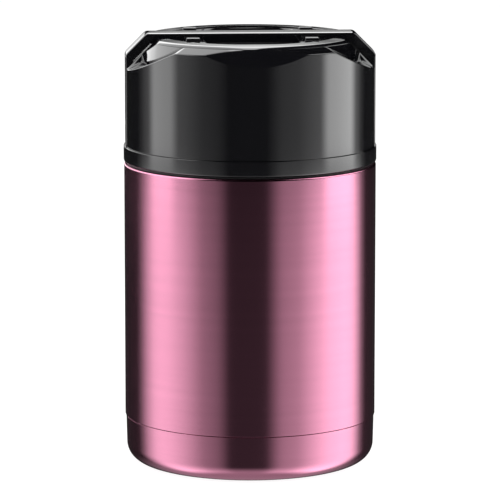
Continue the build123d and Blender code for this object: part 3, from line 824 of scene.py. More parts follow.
def make_spring_tree():
    """A round-wire coil spring that stands on the axis."""
    tree, given, out = open_group(
        "Coil Spring", "GeometryNodeTree",
        [("Radius", FLOAT, SPRING_RADIUS * MM), ("Wire Radius", FLOAT, SPRING_WIRE * MM),
         ("Turns", FLOAT, SPRING_TURNS), ("Start Height", FLOAT, 0.0),
         ("Height", FLOAT, SPRING_REACH * MM), ("Material", MATERIAL, None)],
        [("Geometry", GEOMETRY)],
    )
    wire = add(
        tree, "GeometryNodeCurvePrimitiveCircle", {"Resolution": 12, "Radius": given["Wire Radius"]}
    )
    coil = swept(tree, helix(tree, given, given["Height"], 32), wire.outputs[0])
    finish_tree(tree, coil, given, out, lift=given["Start Height"])


def make_rest_pad_tree():
    """One pad copied to the four corners of a rectangle."""
    tree, given, out = open_group(
        "Rest Pads", "GeometryNodeTree",
        [("Pad", "NodeSocketObject", None), ("Spacing X", FLOAT, 2 * PAD_X * MM),
         ("Spacing Y", FLOAT, 2 * PAD_Y * MM), ("Height", FLOAT, 0.0), ("Material", MATERIAL, None)],
        [("Geometry", GEOMETRY)],
    )
    corners = add(
        tree, "GeometryNodeMeshGrid",
        {"Size X": given["Spacing X"], "Size Y": given["Spacing Y"], "Vertices X": 2, "Vertices Y": 2},
    )
    pad = add(tree, "GeometryNodeObjectInfo", {"Object": given["Pad"], "As Instance": True})
    pads = add(
        tree, "GeometryNodeInstanceOnPoints",
        {"Points": corners.outputs[0], "Instance": pad.outputs["Geometry"]},
    )
    finish_tree(tree, pads.outputs[0], given, out, lift=given["Height"])


# Turns added before a fraction is taken, and where the grip's wall begins, outwards and upwards
WHOLE_TURNS = 1000
WALL_SHARE = 0.93
WALL_FOOT = 0.1 * MM


def make_scallop_tree():
    """Presses evenly spaced finger scallops into the wall of a turned grip."""
    tree, given, out = open_group(
        "Finger Scallops", "GeometryNodeTree",
        [("Geometry", GEOMETRY, None), ("Count", FLOAT, 12.0), ("Cut Radius", FLOAT, 0.008),
         ("Cut Depth", FLOAT, 0.002), ("Grip Radius", FLOAT, GRIP_RADIUS * MM),
         ("From Height", FLOAT, GRIP_STEP * MM), ("Softness", FLOAT, 0.0006),
         ("Material", MATERIAL, None)],
        [("Geometry", GEOMETRY)],
    )

    def times(first, second):
        return maths(tree, "MULTIPLY", first, second)

    def above(first, second):
        return maths(tree, "GREATER_THAN", first, second)

    count, grip, cut_radius = given["Count"], given["Grip Radius"], given["Cut Radius"]
    place = add(tree, "GeometryNodeInputPosition").outputs[0]
    axes = add(tree, "ShaderNodeSeparateXYZ", {0: place}).outputs
    flat = add(tree, "ShaderNodeVectorMath", {0: place, 1: (1.0, 1.0, 0.0)}, operation="MULTIPLY")
    away = add(tree, "ShaderNodeVectorMath", {0: flat.outputs[0]}, operation="LENGTH").outputs["Value"]

    # Whole turns keep the number positive at every angle, and the half puts a scallop's middle at 0.
    angle = maths(tree, "ARCTAN2", axes["Y"], axes["X"])
    turns = times(angle, maths(tree, "DIVIDE", count, 2 * math.pi))
    fraction = maths(tree, "FRACT", maths(tree, "ADD", turns, WHOLE_TURNS + 0.5))
    share = maths(tree, "SUBTRACT", fraction, 0.5)
    from_middle = times(share, maths(tree, "DIVIDE", 2 * math.pi, count))

    centre = maths(tree, "ADD", grip, maths(tree, "SUBTRACT", cut_radius, given["Cut Depth"]))
    aside = times(centre, maths(tree, "SINE", from_middle))
    ahead = times(centre, maths(tree, "COSINE", from_middle))
    inside = maths(tree, "SUBTRACT", times(cut_radius, cut_radius), times(aside, aside))
    cut = maths(tree, "SUBTRACT", ahead, maths(tree, "SQRT", maths(tree, "MAXIMUM", inside, 0.0)))
    pressed = maths(tree, "SMOOTH_MIN", away, cut, given["Softness"])
    foot = maths(tree, "ADD", given["From Height"], WALL_FOOT)
    on_wall = times(above(away, times(grip, WALL_SHARE)), above(axes["Z"], foot))
    on_cut = times(on_wall, above(inside, 0.0))
    scale = maths(tree, "DIVIDE", pressed, away)
    moved = add(tree, "ShaderNodeCombineXYZ", {
        "X": times(axes["X"], scale), "Y": times(axes["Y"], scale), "Z": axes["Z"],
    })
    shaped = add(
        tree, "GeometryNodeSetPosition",
        {"Geometry": given["Geometry"], "Selection": on_cut, "Position": moved.outputs[0]},
    )
    finish_tree(tree, shaped.outputs[0], given, out)


def grown(name, tree_name, values, on=None):
    """The plain mesh that a geometry tree makes, on a new piece or on an existing one."""
    piece = on
    if piece is None:
        piece = bpy.data.objects.new(name, bpy.data.meshes.new(name))
        bpy.context.scene.collection.objects.link(piece)
    tree = bpy.data.node_groups[tree_name]
    modifier = piece.modifiers.new(tree.name, "NODES")
    modifier.node_group = tree
    identifiers = {
        item.name: item.identifier for item in tree.interface.items_tree
        if item.item_type == "SOCKET" and item.in_out == "INPUT"
    }
    for key, value in values.items():
        modifier[identifiers[key]] = value
    return baked(piece)


def add_thread(piece, wall_radius, start, outward, slot):
    """Joins a thread's ridge to a piece, sunk a little into the wall that carries it."""
    side = 1.0 if outward else -1.0
    ridge = grown("thread_ridge", "Thread Ridge", {
        "Radius": (wall_radius - side * THREAD_SINK) * MM, "Start Height": start * MM,
        "Depth": (THREAD_DEPTH + THREAD_SINK) * MM, "Outward": side, "Material": finish_of(slot),
    })
    combine(piece, ridge, how="UNION")


# ---------------------------------------------------------------- pieces of the steel jar
def make_outer_shell():
    """The lacquered outer wall, with its shoulder and neck."""
    neck_bore = SHELL_NECK_RADIUS - STEEL_WALL
    body = turned("body_wall", [
        (BODY_BORE, BODY_FOOT), (BODY_RADIUS, BODY_FOOT, 0.1), (BODY_RADIUS, BODY_TOP, SHOULDER_EDGE),
        (SHELL_NECK_RADIUS, BODY_TOP, 0.2), (SHELL_NECK_RADIUS, SHELL_NECK_TOP, 0.2),
        (neck_bore, SHELL_NECK_TOP), (neck_bore, SHOULDER_TOP),
        (BODY_BORE, SHOULDER_TOP, SHOULDER_FILLET - STEEL_WALL),
    ], segments=FINE_SEGMENTS, steps=8)
    dress(body, "outer_shell")


def make_base_cap():
    """The lacquered bottom cup, which laps into the outer wall."""
    cap_bore = BASE_FOOT_RADIUS - STEEL_WALL
    floor_top = RECESS_DEPTH + STEEL_WALL
    base = turned("base_cup", [
        (PLUG_HOLE, RECESS_DEPTH), (RECESS_RADIUS, RECESS_DEPTH), (RECESS_RADIUS, 0.0, 0.4),
        (BASE_FOOT_RADIUS, 0.0, BASE_FILLET), (BASE_TOP_RADIUS, BASE_TOP, 0.08),
        (BASE_LAP_RADIUS, BASE_TOP), (BASE_LAP_RADIUS, BASE_LAP_TOP), (cap_bore, BASE_LAP_TOP),
        (cap_bore, STEEL_WALL, BASE_FILLET - STEEL_WALL), (RECESS_RADIUS + RECESS_DEPTH, STEEL_WALL),
        (RECESS_RADIUS, floor_top), (PLUG_HOLE, floor_top),
    ], segments=FINE_SEGMENTS, steps=16)
    dress(base, "base_cap")


def make_base_disc():
    """The cover in the base's recess, dished inside its rim."""
    foot, top = low("base_disc"), high("base_disc")
    dish_edge, dish = DISC_RADIUS - 5.4, 0.3
    disc = turned("foot_disc", [
        (0.0, foot + dish), (dish_edge - 0.6, foot + dish, 1.0), (dish_edge, foot, 0.2),
        (DISC_RADIUS, foot, 0.35), (DISC_RADIUS, top), (0.0, top),
    ])
    dress(disc, "base_disc")


def make_vacuum_plug():
    """The stepped plug that closes the hole in the base."""
    foot, top = low("vacuum_plug"), high("vacuum_plug")
    head, step_up = PLUG_HOLE + STEEL_WALL, foot + STEEL_WALL
    plug = turned("vacuum_seal", [
        (0.0, foot), (PLUG_HOLE, foot), (PLUG_HOLE, step_up), (head, step_up, 0.1), (head, top, 0.4),
        (0.0, top),
    ], segments=64)
    dress(plug, "vacuum_plug")


def make_inner_vessel():
    """The food vessel, with the thread in its neck and the lip that closes the vacuum."""
    wall, neck_wall = VESSEL_RADIUS + STEEL_WALL, NECK_RADIUS + STEEL_WALL
    foot = VESSEL_FLOOR - STEEL_WALL
    vessel = turned("food_vessel", [
        (0.0, foot), (wall, foot, VESSEL_FILLET + STEEL_WALL), (wall, SHOULDER_FOOT, 2.0),
        (neck_wall, SHOULDER_TOP, 1.0), (neck_wall, SHELL_NECK_TOP), (SHELL_NECK_RADIUS, SHELL_NECK_TOP),
        (SHELL_NECK_RADIUS, LIP_TOP, LIP_ROUNDING), (NECK_RADIUS, LIP_TOP, LIP_ROUNDING),
        (NECK_RADIUS, SHOULDER_TOP, 1.8), (VESSEL_RADIUS, SHOULDER_FOOT, 2.8),
        (VESSEL_RADIUS, VESSEL_FLOOR, VESSEL_FILLET), (0.0, VESSEL_FLOOR),
    ], steps=10)
    add_thread(vessel, NECK_RADIUS, NECK_THREAD, False, "bare_steel")
    dress(vessel, "inner_vessel")


def make_getter():
    """The pill between the walls that keeps the vacuum."""
    low_corner, high_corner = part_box("getter")
    middle = (low_corner.x + high_corner.x) / 2
    radius = (high_corner.x - low_corner.x) / 2 / MM
    foot, top = low("getter"), high("getter")
    pill = turned("getter_pill", [
        (0.0, foot), (radius, foot, 0.2), (radius, top, 0.6), (radius - 2.0, top, 0.2),
        (radius - 2.4, top - 0.3, 0.2), (0.0, top - 0.3),
    ], segments=96)
    pill.data.transform(Matrix.Translation((middle, 0.0, 0.0)))
    dress(pill, "getter")


def make_neck_collar():
    """The flanged collar round the neck, with the thread that the lid screws on."""
    foot = low("neck_collar")
    collar = turned("neck_ring", [
        (COLLAR_BORE, foot), (COLLAR_FLANGE, foot, 0.25), (COLLAR_FLANGE, COLLAR_FLANGE_TOP, 0.3),
        (COLLAR_RADIUS, COLLAR_FLANGE_TOP, 0.3), (COLLAR_RADIUS, COLLAR_TOP, 0.4),
        (COLLAR_BORE, COLLAR_TOP, 0.4),
    ])
    add_thread(collar, COLLAR_RADIUS, COLLAR_THREAD, True, "black_satin")
    dress(collar, "neck_collar")


# ---------------------------------------------------------------- pieces of the stopper
def make_gasket(name, node, bore, radius):
    """A silicone ring with a rounded underside."""
    foot, top = low(node), high(node)
    gasket = turned(name, [
        (bore, foot, SEAL_ROUNDING), (radius, foot, SEAL_ROUNDING), (radius, top, 0.2), (bore, top, 0.2),
    ])
    dress(gasket, node)


def make_stopper_seal():
    """The ring between the stopper's flange and the lip."""
    make_gasket("stopper_gasket", "stopper_seal", NECK_RADIUS + RUN_GAP, SHELL_NECK_RADIUS)


def make_stopper_shell():
    """The stopper's threaded wall and its flange."""
    foot = low("stopper_shell")
    plug = turned("stopper_plug", [
        (PLUG_BORE, foot), (PLUG_RADIUS, foot, 0.5), (PLUG_RADIUS, STOPPER_FLANGE_LOW, 0.3),
        (STOPPER_RADIUS, STOPPER_FLANGE_LOW, 0.57), (STOPPER_RADIUS, STOPPER_FLANGE_TOP, 0.57),
        (PLUG_BORE, STOPPER_FLANGE_TOP),
    ])
    add_thread(plug, PLUG_RADIUS, PLUG_THREAD, True, "black_satin")
    dress(plug, "stopper_shell")


def make_stopper_base():
    """The plate under the stopper, with a collar round its vent."""
    foot, top, radius = low("stopper_base"), high("stopper_base"), reach("stopper_base")
    plate = turned("stopper_plate", [
        (VENT_RADIUS, foot, 0.3), (radius, foot, 0.15), (radius, BASE_PLATE_TOP),
        (VENT_COLLAR, BASE_PLATE_TOP, 0.2), (VENT_COLLAR, top, 0.2), (VENT_RADIUS, top),
    ])
    dress(plate, "stopper_base")


def make_stopper_foam():
    """The insulation inside the stopper."""
    foot, top = low("stopper_foam"), high("stopper_foam")
    bore, radius = VENT_COLLAR + RUN_GAP, reach("stopper_foam")
    foam = turned("foam_core", [
        (bore, foot, 0.5), (radius, foot, 0.8), (radius, top, 0.8), (bore, top, 0.5),
    ])
    dress(foam, "stopper_foam")


def make_stopper_cap():
    """The stopper's grip, with finger scallops and the relief button's well."""
    post, hollow_top = BUTTON_BORE + CAP_WALL, CAP_TOP - CAP_WALL
    cap = turned("stopper_grip", [
        (STEM_BORE, CAP_LOW), (post, CAP_LOW), (post, hollow_top, 0.3), (GRIP_BORE, hollow_top, 0.3),
        (GRIP_BORE, CAP_LOW), (CAP_FLANGE, CAP_LOW, 0.4), (CAP_FLANGE, GRIP_STEP, 0.7),
        (GRIP_RADIUS, GRIP_STEP, 0.35), (GRIP_RADIUS, CAP_TOP, 1.5), (BUTTON_BORE, CAP_TOP, 0.5),
        (BUTTON_BORE, BUTTON_WELL, 0.3), (STEM_BORE, BUTTON_WELL),
    ], segments=480, steps=8)
    grown("stopper_grip", "Finger Scallops", {
        "Count": float(chosen().grip_scallops), "Cut Depth": chosen().scallop_depth,
        "Material": finish_of("black_satin"),
    }, on=cap)
    dress(cap, "stopper_cap")


def make_relief_button():
    """The hollow button, dished on top, with a socket for the stem."""
    ceiling = BUTTON_TOP - BUTTON_WALL
    inner, socket = BUTTON_RADIUS - BUTTON_WALL, STEM_BORE + BUTTON_WALL / 2
    button = turned("button_cap", [
        (0.0, BUTTON_TOP - 0.5), (BUTTON_RADIUS - 3.2, BUTTON_TOP - 0.4, 2.0),
        (BUTTON_RADIUS - 2.2, BUTTON_TOP, 0.6), (BUTTON_RADIUS, BUTTON_TOP, 0.8),
        (BUTTON_RADIUS, BUTTON_LOW, 0.2), (inner, BUTTON_LOW), (inner, ceiling, 0.4),
        (socket, ceiling), (socket, ceiling - BUTTON_TRAVEL), (STEM_BORE, ceiling - BUTTON_TRAVEL),
        (STEM_BORE, ceiling), (0.0, ceiling),
    ], segments=128)
    dress(button, "relief_button")


def make_valve_stem():
    """The rod from the button down to the valve's seal."""
    foot, top = low("valve_stem"), high("valve_stem")
    stem = turned("valve_rod", [
        (0.0, foot), (STEM_RADIUS, foot, 0.3), (STEM_RADIUS, top, 0.3), (0.0, top),
    ], segments=64)
    dress(stem, "valve_stem")


def make_valve_seal():
    """The washer that closes the vent from below."""
    radius, foot, top = reach("valve_seal"), low("valve_seal"), high("valve_seal")
    washer = turned("valve_washer", [
        (STEM_BORE, foot), (radius, foot, 0.66), (radius, top, 0.25), (STEM_BORE, top),
    ], segments=96)
    dress(washer, "valve_seal")


def make_button_spring():
    """The coil spring under the button, which the button squashes from above."""
    foot, top = low("button_spring"), high("button_spring")
    coil_low, coil_top = foot + SPRING_WIRE, top - SPRING_WIRE
    spring = grown("button_coil", "Coil Spring", {
        "Start Height": coil_low * MM, "Height": (coil_top - coil_low) * MM,
        "Material": finish_of("bare_steel"),
    })
    dress(spring, "button_spring")
    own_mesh(spring)


# ---------------------------------------------------------------- pieces of the lid
def make_lid_seal():
    """The ring between the lid and the collar."""
    make_gasket("lid_gasket", "lid_seal", LINER_BORE + FIT_GAP, reach("lid_seal"))


def make_lid_liner():
    """The lid's threaded cup, with the band that shows under the shell."""
    band_bore = BAND_RADIUS - BAND_WALL
    web, shelf = BAND_TOP - LINER_WALL, LINER_STEP + LINER_WALL
    ceiling, groove = LINER_TOP - LINER_WALL, BAND_TOP - JOINT_GROOVE
    liner = turned("lid_cup", [
        (0.0, ceiling), (LINER_BORE, ceiling, 3.0), (LINER_BORE, LINER_STEP, 0.2),
        (LINER_THREAD_BORE, LINER_STEP, 0.2), (LINER_THREAD_BORE, BAND_LOW, 0.2),
        (LINER_SKIRT, BAND_LOW, 0.2), (LINER_SKIRT, web, 0.2), (band_bore, web, 0.2),
        (band_bore, BAND_LOW, 0.2), (BAND_RADIUS, BAND_LOW, 0.6), (BAND_RADIUS, BAND_TOP, 0.12),
        (LID_RADIUS - JOINT_INSET, groove), (LINER_SKIRT, groove), (LINER_SKIRT, shelf),
        (LINER_UPPER, shelf), (LINER_UPPER, LINER_TOP, 4.1), (0.0, LINER_TOP),
    ], segments=FINE_SEGMENTS)
    add_thread(liner, LINER_THREAD_BORE, LINER_THREAD, False, "black_gloss")
    dress(liner, "lid_liner")


def soft_min(first, second, width):
    """The lower of two heights, with the crease between them rounded."""
    share = min(max(0.5 + 0.5 * (second - first) / width, 0.0), 1.0)
    return second + (first - second) * share - width * share * (1.0 - share)


def bevel_sum(seat):
    """x + z on the slope of the strap's arch, moved in by an offset."""
    return LID_RADIUS + STRAP_TOP - STRAP_BEVEL - seat * math.sqrt(2)


def facet_height(x, y):
    """Height of the lid's facets: steep at front and back, shallow at the sides.

    Under the strap they rise in a ridge that follows the strap's bevels.
    """
    front = FRONT_FACET_EDGE + FRONT_FACET_SLOPE * (LID_RADIUS - abs(y))
    side = SIDE_FACET_EDGE + SIDE_FACET_SLOPE * (LID_RADIUS - abs(x))
    brow = CORE_EDGE - BROW_DROP - BROW_SLOPE * (math.hypot(x, y) - CORE_RADIUS)
    height = soft_min(soft_min(front, side, CREASE), brow, CREASE)
    ridge = bevel_sum(CHANNEL_SEAT) - 2 * SEAT_CLEARANCE - abs(x)
    under_strap = min(max((SADDLE_HALF - abs(y)) / SADDLE_WALL + 0.5, 0.0), 1.0)
    under_strap *= under_strap * (3.0 - 2.0 * under_strap)
    return height + max(ridge - height, 0.0) * under_strap


def core_height(x, radius):
    """Height of the lid's round core, with its domed edge and the slopes under the strap's arch."""
    beyond = max(radius - LAND_RADIUS, 0.0)
    land = LID_TOP - LAND_FALL * (min(radius, LAND_RADIUS) - OPENING_RADIUS)
    dome = land - ARC_RADIUS + math.sqrt(ARC_RADIUS**2 - beyond**2)
    return soft_min(dome, bevel_sum(CHANNEL_SEAT) - SEAT_CLEARANCE - abs(x), CREASE)


def on_surface(height_at, start, end, steps):
    """Points of a surface at even steps of radius, without the first place."""
    radii = [start + (end - start) * step / steps for step in range(1, steps + 1)]
    return [(radius, height_at(radius)) for radius in radii]


def lid_column(angle, edge):
    """The closed section of the lid shell at one angle, as (radius, height) points."""
    across, depth = math.sin(angle), math.cos(angle)

    def facet(radius):
        return facet_height(radius * across, radius * depth)

    def core(radius):
        return core_height(radius * across, radius)

    wall = core(CORE_RADIUS) - facet(CORE_RADIUS)
    foot = CORE_RADIUS + CORE_DRAFT * wall
    underside = LID_TOP - LAND_THICKNESS
    outside = [
        (LID_RADIUS - LID_WALL, LID_LOW), (LID_RADIUS, LID_LOW, 0.15),
        (LID_RADIUS, facet(LID_RADIUS), edge),
        *on_surface(facet, LID_RADIUS - EDGE_ROOM, foot + FOOT_ROOM, FACET_ROWS)[:-1],
        (foot, facet(foot), min(0.12, 0.2 * wall)),
        (CORE_RADIUS, core(CORE_RADIUS), min(0.3, 0.4 * wall)),
        *on_surface(core, CORE_RADIUS - DOME_ROOM, LAND_RADIUS - DOME_ROOM, DOME_ROWS),
        *on_surface(core, LAND_RADIUS - LAND_ROOM, OPENING_RADIUS + 2 * LAND_ROOM, LAND_ROWS),
        (OPENING_RADIUS, core(OPENING_RADIUS), 0.25), (OPENING_RADIUS, underside),
    ]
    points = [tuple(point) for point in rounded(outside, closed=False, steps=4)]

    inside = [
        (THROAT_RADIUS, underside), (THROAT_RADIUS, underside - LAND_THICKNESS),
        (LAND_RADIUS, SIDE_FACET_EDGE + 2 * LID_WALL), (CORE_RADIUS, SIDE_FACET_EDGE),
        (LID_RADIUS - LID_WALL, SIDE_FACET_EDGE - LID_WALL),
    ]
    for radius, height in inside:
        if abs(radius * depth) < SADDLE_HALF:
            height = min(height, STRAP_TOP - SADDLE_SEAT)
            x = min(radius * abs(across), SADDLE_FACE, bevel_sum(SADDLE_SEAT) - height)
            radius = x / abs(across)
        points.append((radius, height))
    if abs(LID_RADIUS * depth) < SADDLE_HALF:
        points[0] = (SADDLE_FACE / abs(across), LID_LOW)
    return points


def strap_arch(side, seat, foot, rounding=0.0):
    """The strap's arch seen from the front, its sides moved in by one offset and its top by another."""
    x_side, z_top, slope = LID_RADIUS - side, STRAP_TOP - seat, bevel_sum(seat)
    right = [(x_side, foot), (x_side, slope - x_side, rounding), (slope - z_top, z_top, rounding)]
    left = [(-corner[0], *corner[1:]) for corner in reversed(right)]
    return right + left


def turned_on_x(name, corners, side, segments=96):
    """A turned piece laid along X at the pins' height, its top outwards on the given side."""
    piece = turned(name, corners, segments=segments)
    quarter = Matrix.Rotation(side * math.pi / 2, 4, "Y")
    piece.data.transform(Matrix.Translation((0.0, 0.0, PIN_HEIGHT * MM)) @ quarter)
    return piece


def make_lid_shell():
    """The faceted shell, with the strap's channel and the pins' holes cut through it."""
    segments, edge = chosen().lid_segments, chosen().lid_edge / MM
    shape = bmesh.new()
    columns = []
    for step in range(segments):
        angle = 2 * math.pi * step / segments
        columns.append([
            shape.verts.new(round_the_axis(radius, angle, height))
            for radius, height in lid_column(angle, edge)
        ])
    shell = skinned("lid_hood", shape, columns, closed=True)

    below = LID_LOW - 5.0
    channel = strap_arch(CHANNEL_FLOOR, CHANNEL_SEAT, below)
    around = [(-BEYOND, below), (-BEYOND, BEYOND * 2), (BEYOND, BEYOND * 2), (BEYOND, below)]
    channel_tool = prism("channel_tool", [corner[:2] for corner in channel] + around, CHANNEL_HALF)
    bore = PIN_RADIUS + FIT_GAP
    pin_hole = turned_on_x(
        "pin_hole_tool", [(0.0, -BEYOND), (bore, -BEYOND), (bore, BEYOND), (0.0, BEYOND)], 1.0, 48
    )
    combine(shell, channel_tool, pin_hole)
    dress(shell, "lid_shell")


def make_top_tray():
    """The tray in the lid's top, with its finger well, the strap's channel and four rest pads."""
    underside = TRAY_TOP - TRAY_THICKNESS
    flange_low = TRAY_FLANGE_TOP - TRAY_FLANGE_THICKNESS
    hidden_top = TRAY_TOP - 0.7
    bore = TRAY_RADIUS - TRAY_THICKNESS
    tray = turned("tray_plate", [
        (0.0, underside), (bore, underside), (bore, flange_low), (TRAY_FLANGE, flange_low),
        (TRAY_FLANGE, TRAY_FLANGE_TOP), (TRAY_RADIUS, TRAY_FLANGE_TOP), (TRAY_RADIUS, TRAY_TOP),
        (0.0, TRAY_TOP),
    ])
    combine(tray, box_tool(
        "notch_tool", (flange_low - 1.0, underside - 0.01), BEYOND, SADDLE_HALF + RUN_GAP
    ))
    well_box = slab(
        "well_box", [(WELL_BASE, 2.0), (WELL_BASE + 0.6, 0.6), (WELL_BASE + 2.0, 0.0), (hidden_top, 0.0)],
        WELL_HALF_WIDTH + WELL_WALL, WELL_HALF_LENGTH + WELL_WALL, WELL_CORNER + WELL_WALL,
    )
    floor = STRAP_TOP - STRAP_THICKNESS - RUN_GAP
    beam = box_tool("beam", (floor - SADDLE_WALL, hidden_top), TRAY_RADIUS - 0.9, SADDLE_HALF)
    combine(tray, well_box, beam, how="UNION")
    fillet, steps = 3.0, 6
    levels = [
        (WELL_FLOOR + fillet * (1 - math.cos(angle)), fillet * (1 - math.sin(angle)))
        for angle in (math.pi / 2 * step / steps for step in range(steps + 1))
    ]
    well = slab(
        "well_tool", levels + [(TRAY_TOP - 0.8, 0.0), (TRAY_TOP - 0.2, -0.2), (TRAY_TOP + 0.3, -0.7)],
        WELL_HALF_WIDTH, WELL_HALF_LENGTH, WELL_CORNER,
    )
    channel = box_tool("channel_tool", (floor, TRAY_TOP + 1.0), BEYOND, CHANNEL_HALF)
    combine(tray, well, channel)
    soften(tray, 0.3, sharpest=50.0)

    length, width, height = 6.0, 4.0, chosen().rest_pad_height / MM
    pad = slab(
        "rest_pad", [(-0.3, 0.0), (height - 0.4, 0.0), (height - 0.12, 0.12), (height, 0.4)],
        length / 2, width / 2, 0.5,
    )
    pads = grown("rest_pads", "Rest Pads", {
        "Pad": pad, "Height": TRAY_TOP * MM, "Material": finish_of("black_gloss"),
    })
    bpy.data.objects.remove(pad)
    combine(tray, pads, how="UNION")
    dress(tray, "top_tray", weighted=True)


# ---------------------------------------------------------------- pieces of the handle
def strap_stations():
    """Places along the strap from foot to foot: outer point, inner point, how far its edges draw in."""
    outer = rounded(strap_arch(0.0, 0.0, STRAP_LOW, STRAP_CORNER), closed=False, steps=8)
    inner = rounded(
        strap_arch(ARM_THICKNESS, STRAP_THICKNESS, STRAP_LOW, 0.8), closed=False, steps=8
    )
    feet = []
    for first, second in ((0, 1), (-1, -2)):
        along = (outer[second] - outer[first]).normalized()
        feet.append([
            (outer[first] + along * at, inner[first] + along * at, inset)
            for at, inset in ((0.0, 0.4), (0.1, 0.17), (0.4, 0.0))
        ])
    run = [(out_point, in_point, 0.0) for out_point, in_point in zip(outer[1:-1], inner[1:-1])]
    return feet[0] + run + feet[1][::-1]


def strap_section(depth, inset, crown):
    """The strap's section as (sideways, down) points, its upper edges softer than its lower ones."""
    half, under_edge, steps = STRAP_WIDTH / 2, 0.35, 6
    edge = chosen().strap_edge / MM
    section = []
    for quarter, (side, top) in enumerate(((1, True), (-1, True), (-1, False), (1, False))):
        radius = edge if top else under_edge
        middle_y = side * (half - inset - radius)
        middle_d = inset + radius + crown if top else depth - inset - radius
        corner = []
        for step in range(steps + 1):
            angle = math.pi * (quarter / 2 + 0.5 * step / steps)
            corner.append((middle_y + radius * math.cos(angle), middle_d - radius * math.sin(angle)))
        flat_end = (side * (half - STRAP_CROWN_WIDTH), inset)
        if top:
            corner = corner + [flat_end] if side > 0 else [flat_end] + corner
        section += corner
    return section


def make_handle_strap():
    """The strap, crowned along its top, with a slot and a pocket for the pin in each arm."""
    shape = bmesh.new()
    rings = []
    for out_point, in_point, inset in strap_stations():
        depth = (in_point - out_point).length
        inward = (in_point - out_point) / depth
        crown = STRAP_CROWN * max(-inward.y, 0.0) ** STRAP_CROWN_POWER
        rings.append([
            shape.verts.new((out_point.x + inward.x * down, y, out_point.y + inward.y * down))
            for y, down in strap_section(depth, inset, crown)
        ])
    strap = skinned("strap", shape, rings)

    middle = PIN_HEIGHT - SLOT_TRAVEL / 2
    tools = [slot_tool("slot_tool", PIN_RADIUS + RUN_GAP, middle, -BEYOND, BEYOND)]
    for side in (-1, 1):
        near, far = sorted((side * HEAD_POCKET, side * BEYOND))
        tools.append(slot_tool("pocket_tool", PIN_HEAD + RUN_GAP, middle, near, far))
    combine(strap, *tools)
    soften(strap, 0.15, sharpest=60.0)
    dress(strap, "handle_strap", weighted=True)


def slot_tool(name, radius, middle, near, far):
    """A round-ended upright slot along X, to be cut through the strap's arms."""
    tool = slab(name, [(near, 0.0), (far, 0.0)], radius, SLOT_TRAVEL / 2 + radius, radius, steps=16)
    lie_along_x = Matrix(((0, 0, 1, 0), (1, 0, 0, 0), (0, 1, 0, middle * MM), (0, 0, 0, 1)))
    tool.data.transform(lie_along_x)
    return tool


def make_handle_pins():
    """The two shouldered pins that the strap's arms slide on."""
    shoulder = PIN_END - PIN_HEAD_THICKNESS
    for side, node in ((-1.0, "handle_pin_left"), (1.0, "handle_pin_right")):
        pin = turned_on_x(node + "_turned", [
            (0.0, PIN_FOOT), (PIN_RADIUS, PIN_FOOT, 0.2), (PIN_RADIUS, shoulder),
            (PIN_HEAD, shoulder, 0.1), (PIN_HEAD, PIN_END, 0.3), (0.0, PIN_END),
        ], side)
        dress(pin, node)


# ---------------------------------------------------------------- studio
CAMERA_DISTANCE = 1.69
CAMERA_ELEVATION = math.radians(9.5)
CAMERA_AZIMUTH = math.radians(-3.0)
CAMERA_AIM = Vector((0.0, 0.0, 0.0928))
CAMERA_LENS = 277.2
WHITE = (1.0, 1.0, 1.0, 1.0)
FLOOR_GLOW = 1.14
FLOOR_GLOW_SHARE = 0.80
FLOOR_RADIUS = 6000.0
SOFT_FILL = 0.45

# How bright the tent's side panels are, from behind by the left to behind by the right: (degrees, share)
TENT_RING = (
    (-180, 0.010), (-128, 0.010), (-120, 0.09), (-112, 0.26), (-101, 0.49), (-93, 0.54), (-82, 0.51),
    (-68, 0.39), (-47, 0.165), (-33, 0.11), (-28, 0.07), (-22, 0.016), (12, 0.018), (17, 0.07),
    (26, 0.19), (42, 0.25), (57, 0.44), (74, 0.65), (92, 0.74), (103, 0.70), (112, 0.40), (119, 0.11),
    (127, 0.014), (180, 0.010),
)
# Further lights with soft edges: (azimuths, softness), (elevations, softness), strength
TENT_BOXES = (
    ((-99.0, -82.0, 12.0), (-8.8, -5.5, 0.8), 1.07),
    ((75.0, 100.0, 12.0), (-8.8, -5.5, 0.8), 1.7),
    ((-165.0, -60.0, 12.0), (-3.0, 3.5, 1.5), 2.6),
    ((174.5, 179.0, 1.0), (4.5, 7.5, 1.0), 0.36),
)
TENT_STRENGTH = 2.2
TENT_RADIUS = 2.6
TENT_HEIGHT = LID_TOP * MM

# Side panels: the elevations over which they begin, grow dimmer and end
PANEL_FOOT = (-72.0, -54.0)
PANEL_STEP = (-9.6, -9.0)
PANEL_STEP_SHARE = 0.49
PANEL_TOP = (-5.5, -4.0)

# Sky: the elevations over which it brightens in two steps and ends, and the azimuths of its sides
SKY_FOOT = (7.5, 11.0)
SKY_FOOT_GAIN = 0.9
SKY_STEP = (11.0, 16.0)
SKY_STEP_GAIN = 1.1
SKY_TOP = (62.0, 74.0)
SKY_SIDES = (50.0, 75.0)
DARK_STRIP = (127.0, 172.5, 1.5)
DIM_STRIP = (-178.5, -155.0, 1.5)
DIM_STRIP_FOOT = (24.0, 30.0)
DIM_STRIP_SHARE = 0.5

# Light that comes up from under the jar
UNDERFOOT = (-60.0, -25.0)
UNDERFOOT_LEVEL = 0.35


def cleared_material(name):
    """A material with an empty tree."""
    material = bpy.data.materials.new(name)
    material.use_nodes = True
    material.node_tree.nodes.clear()
    return material


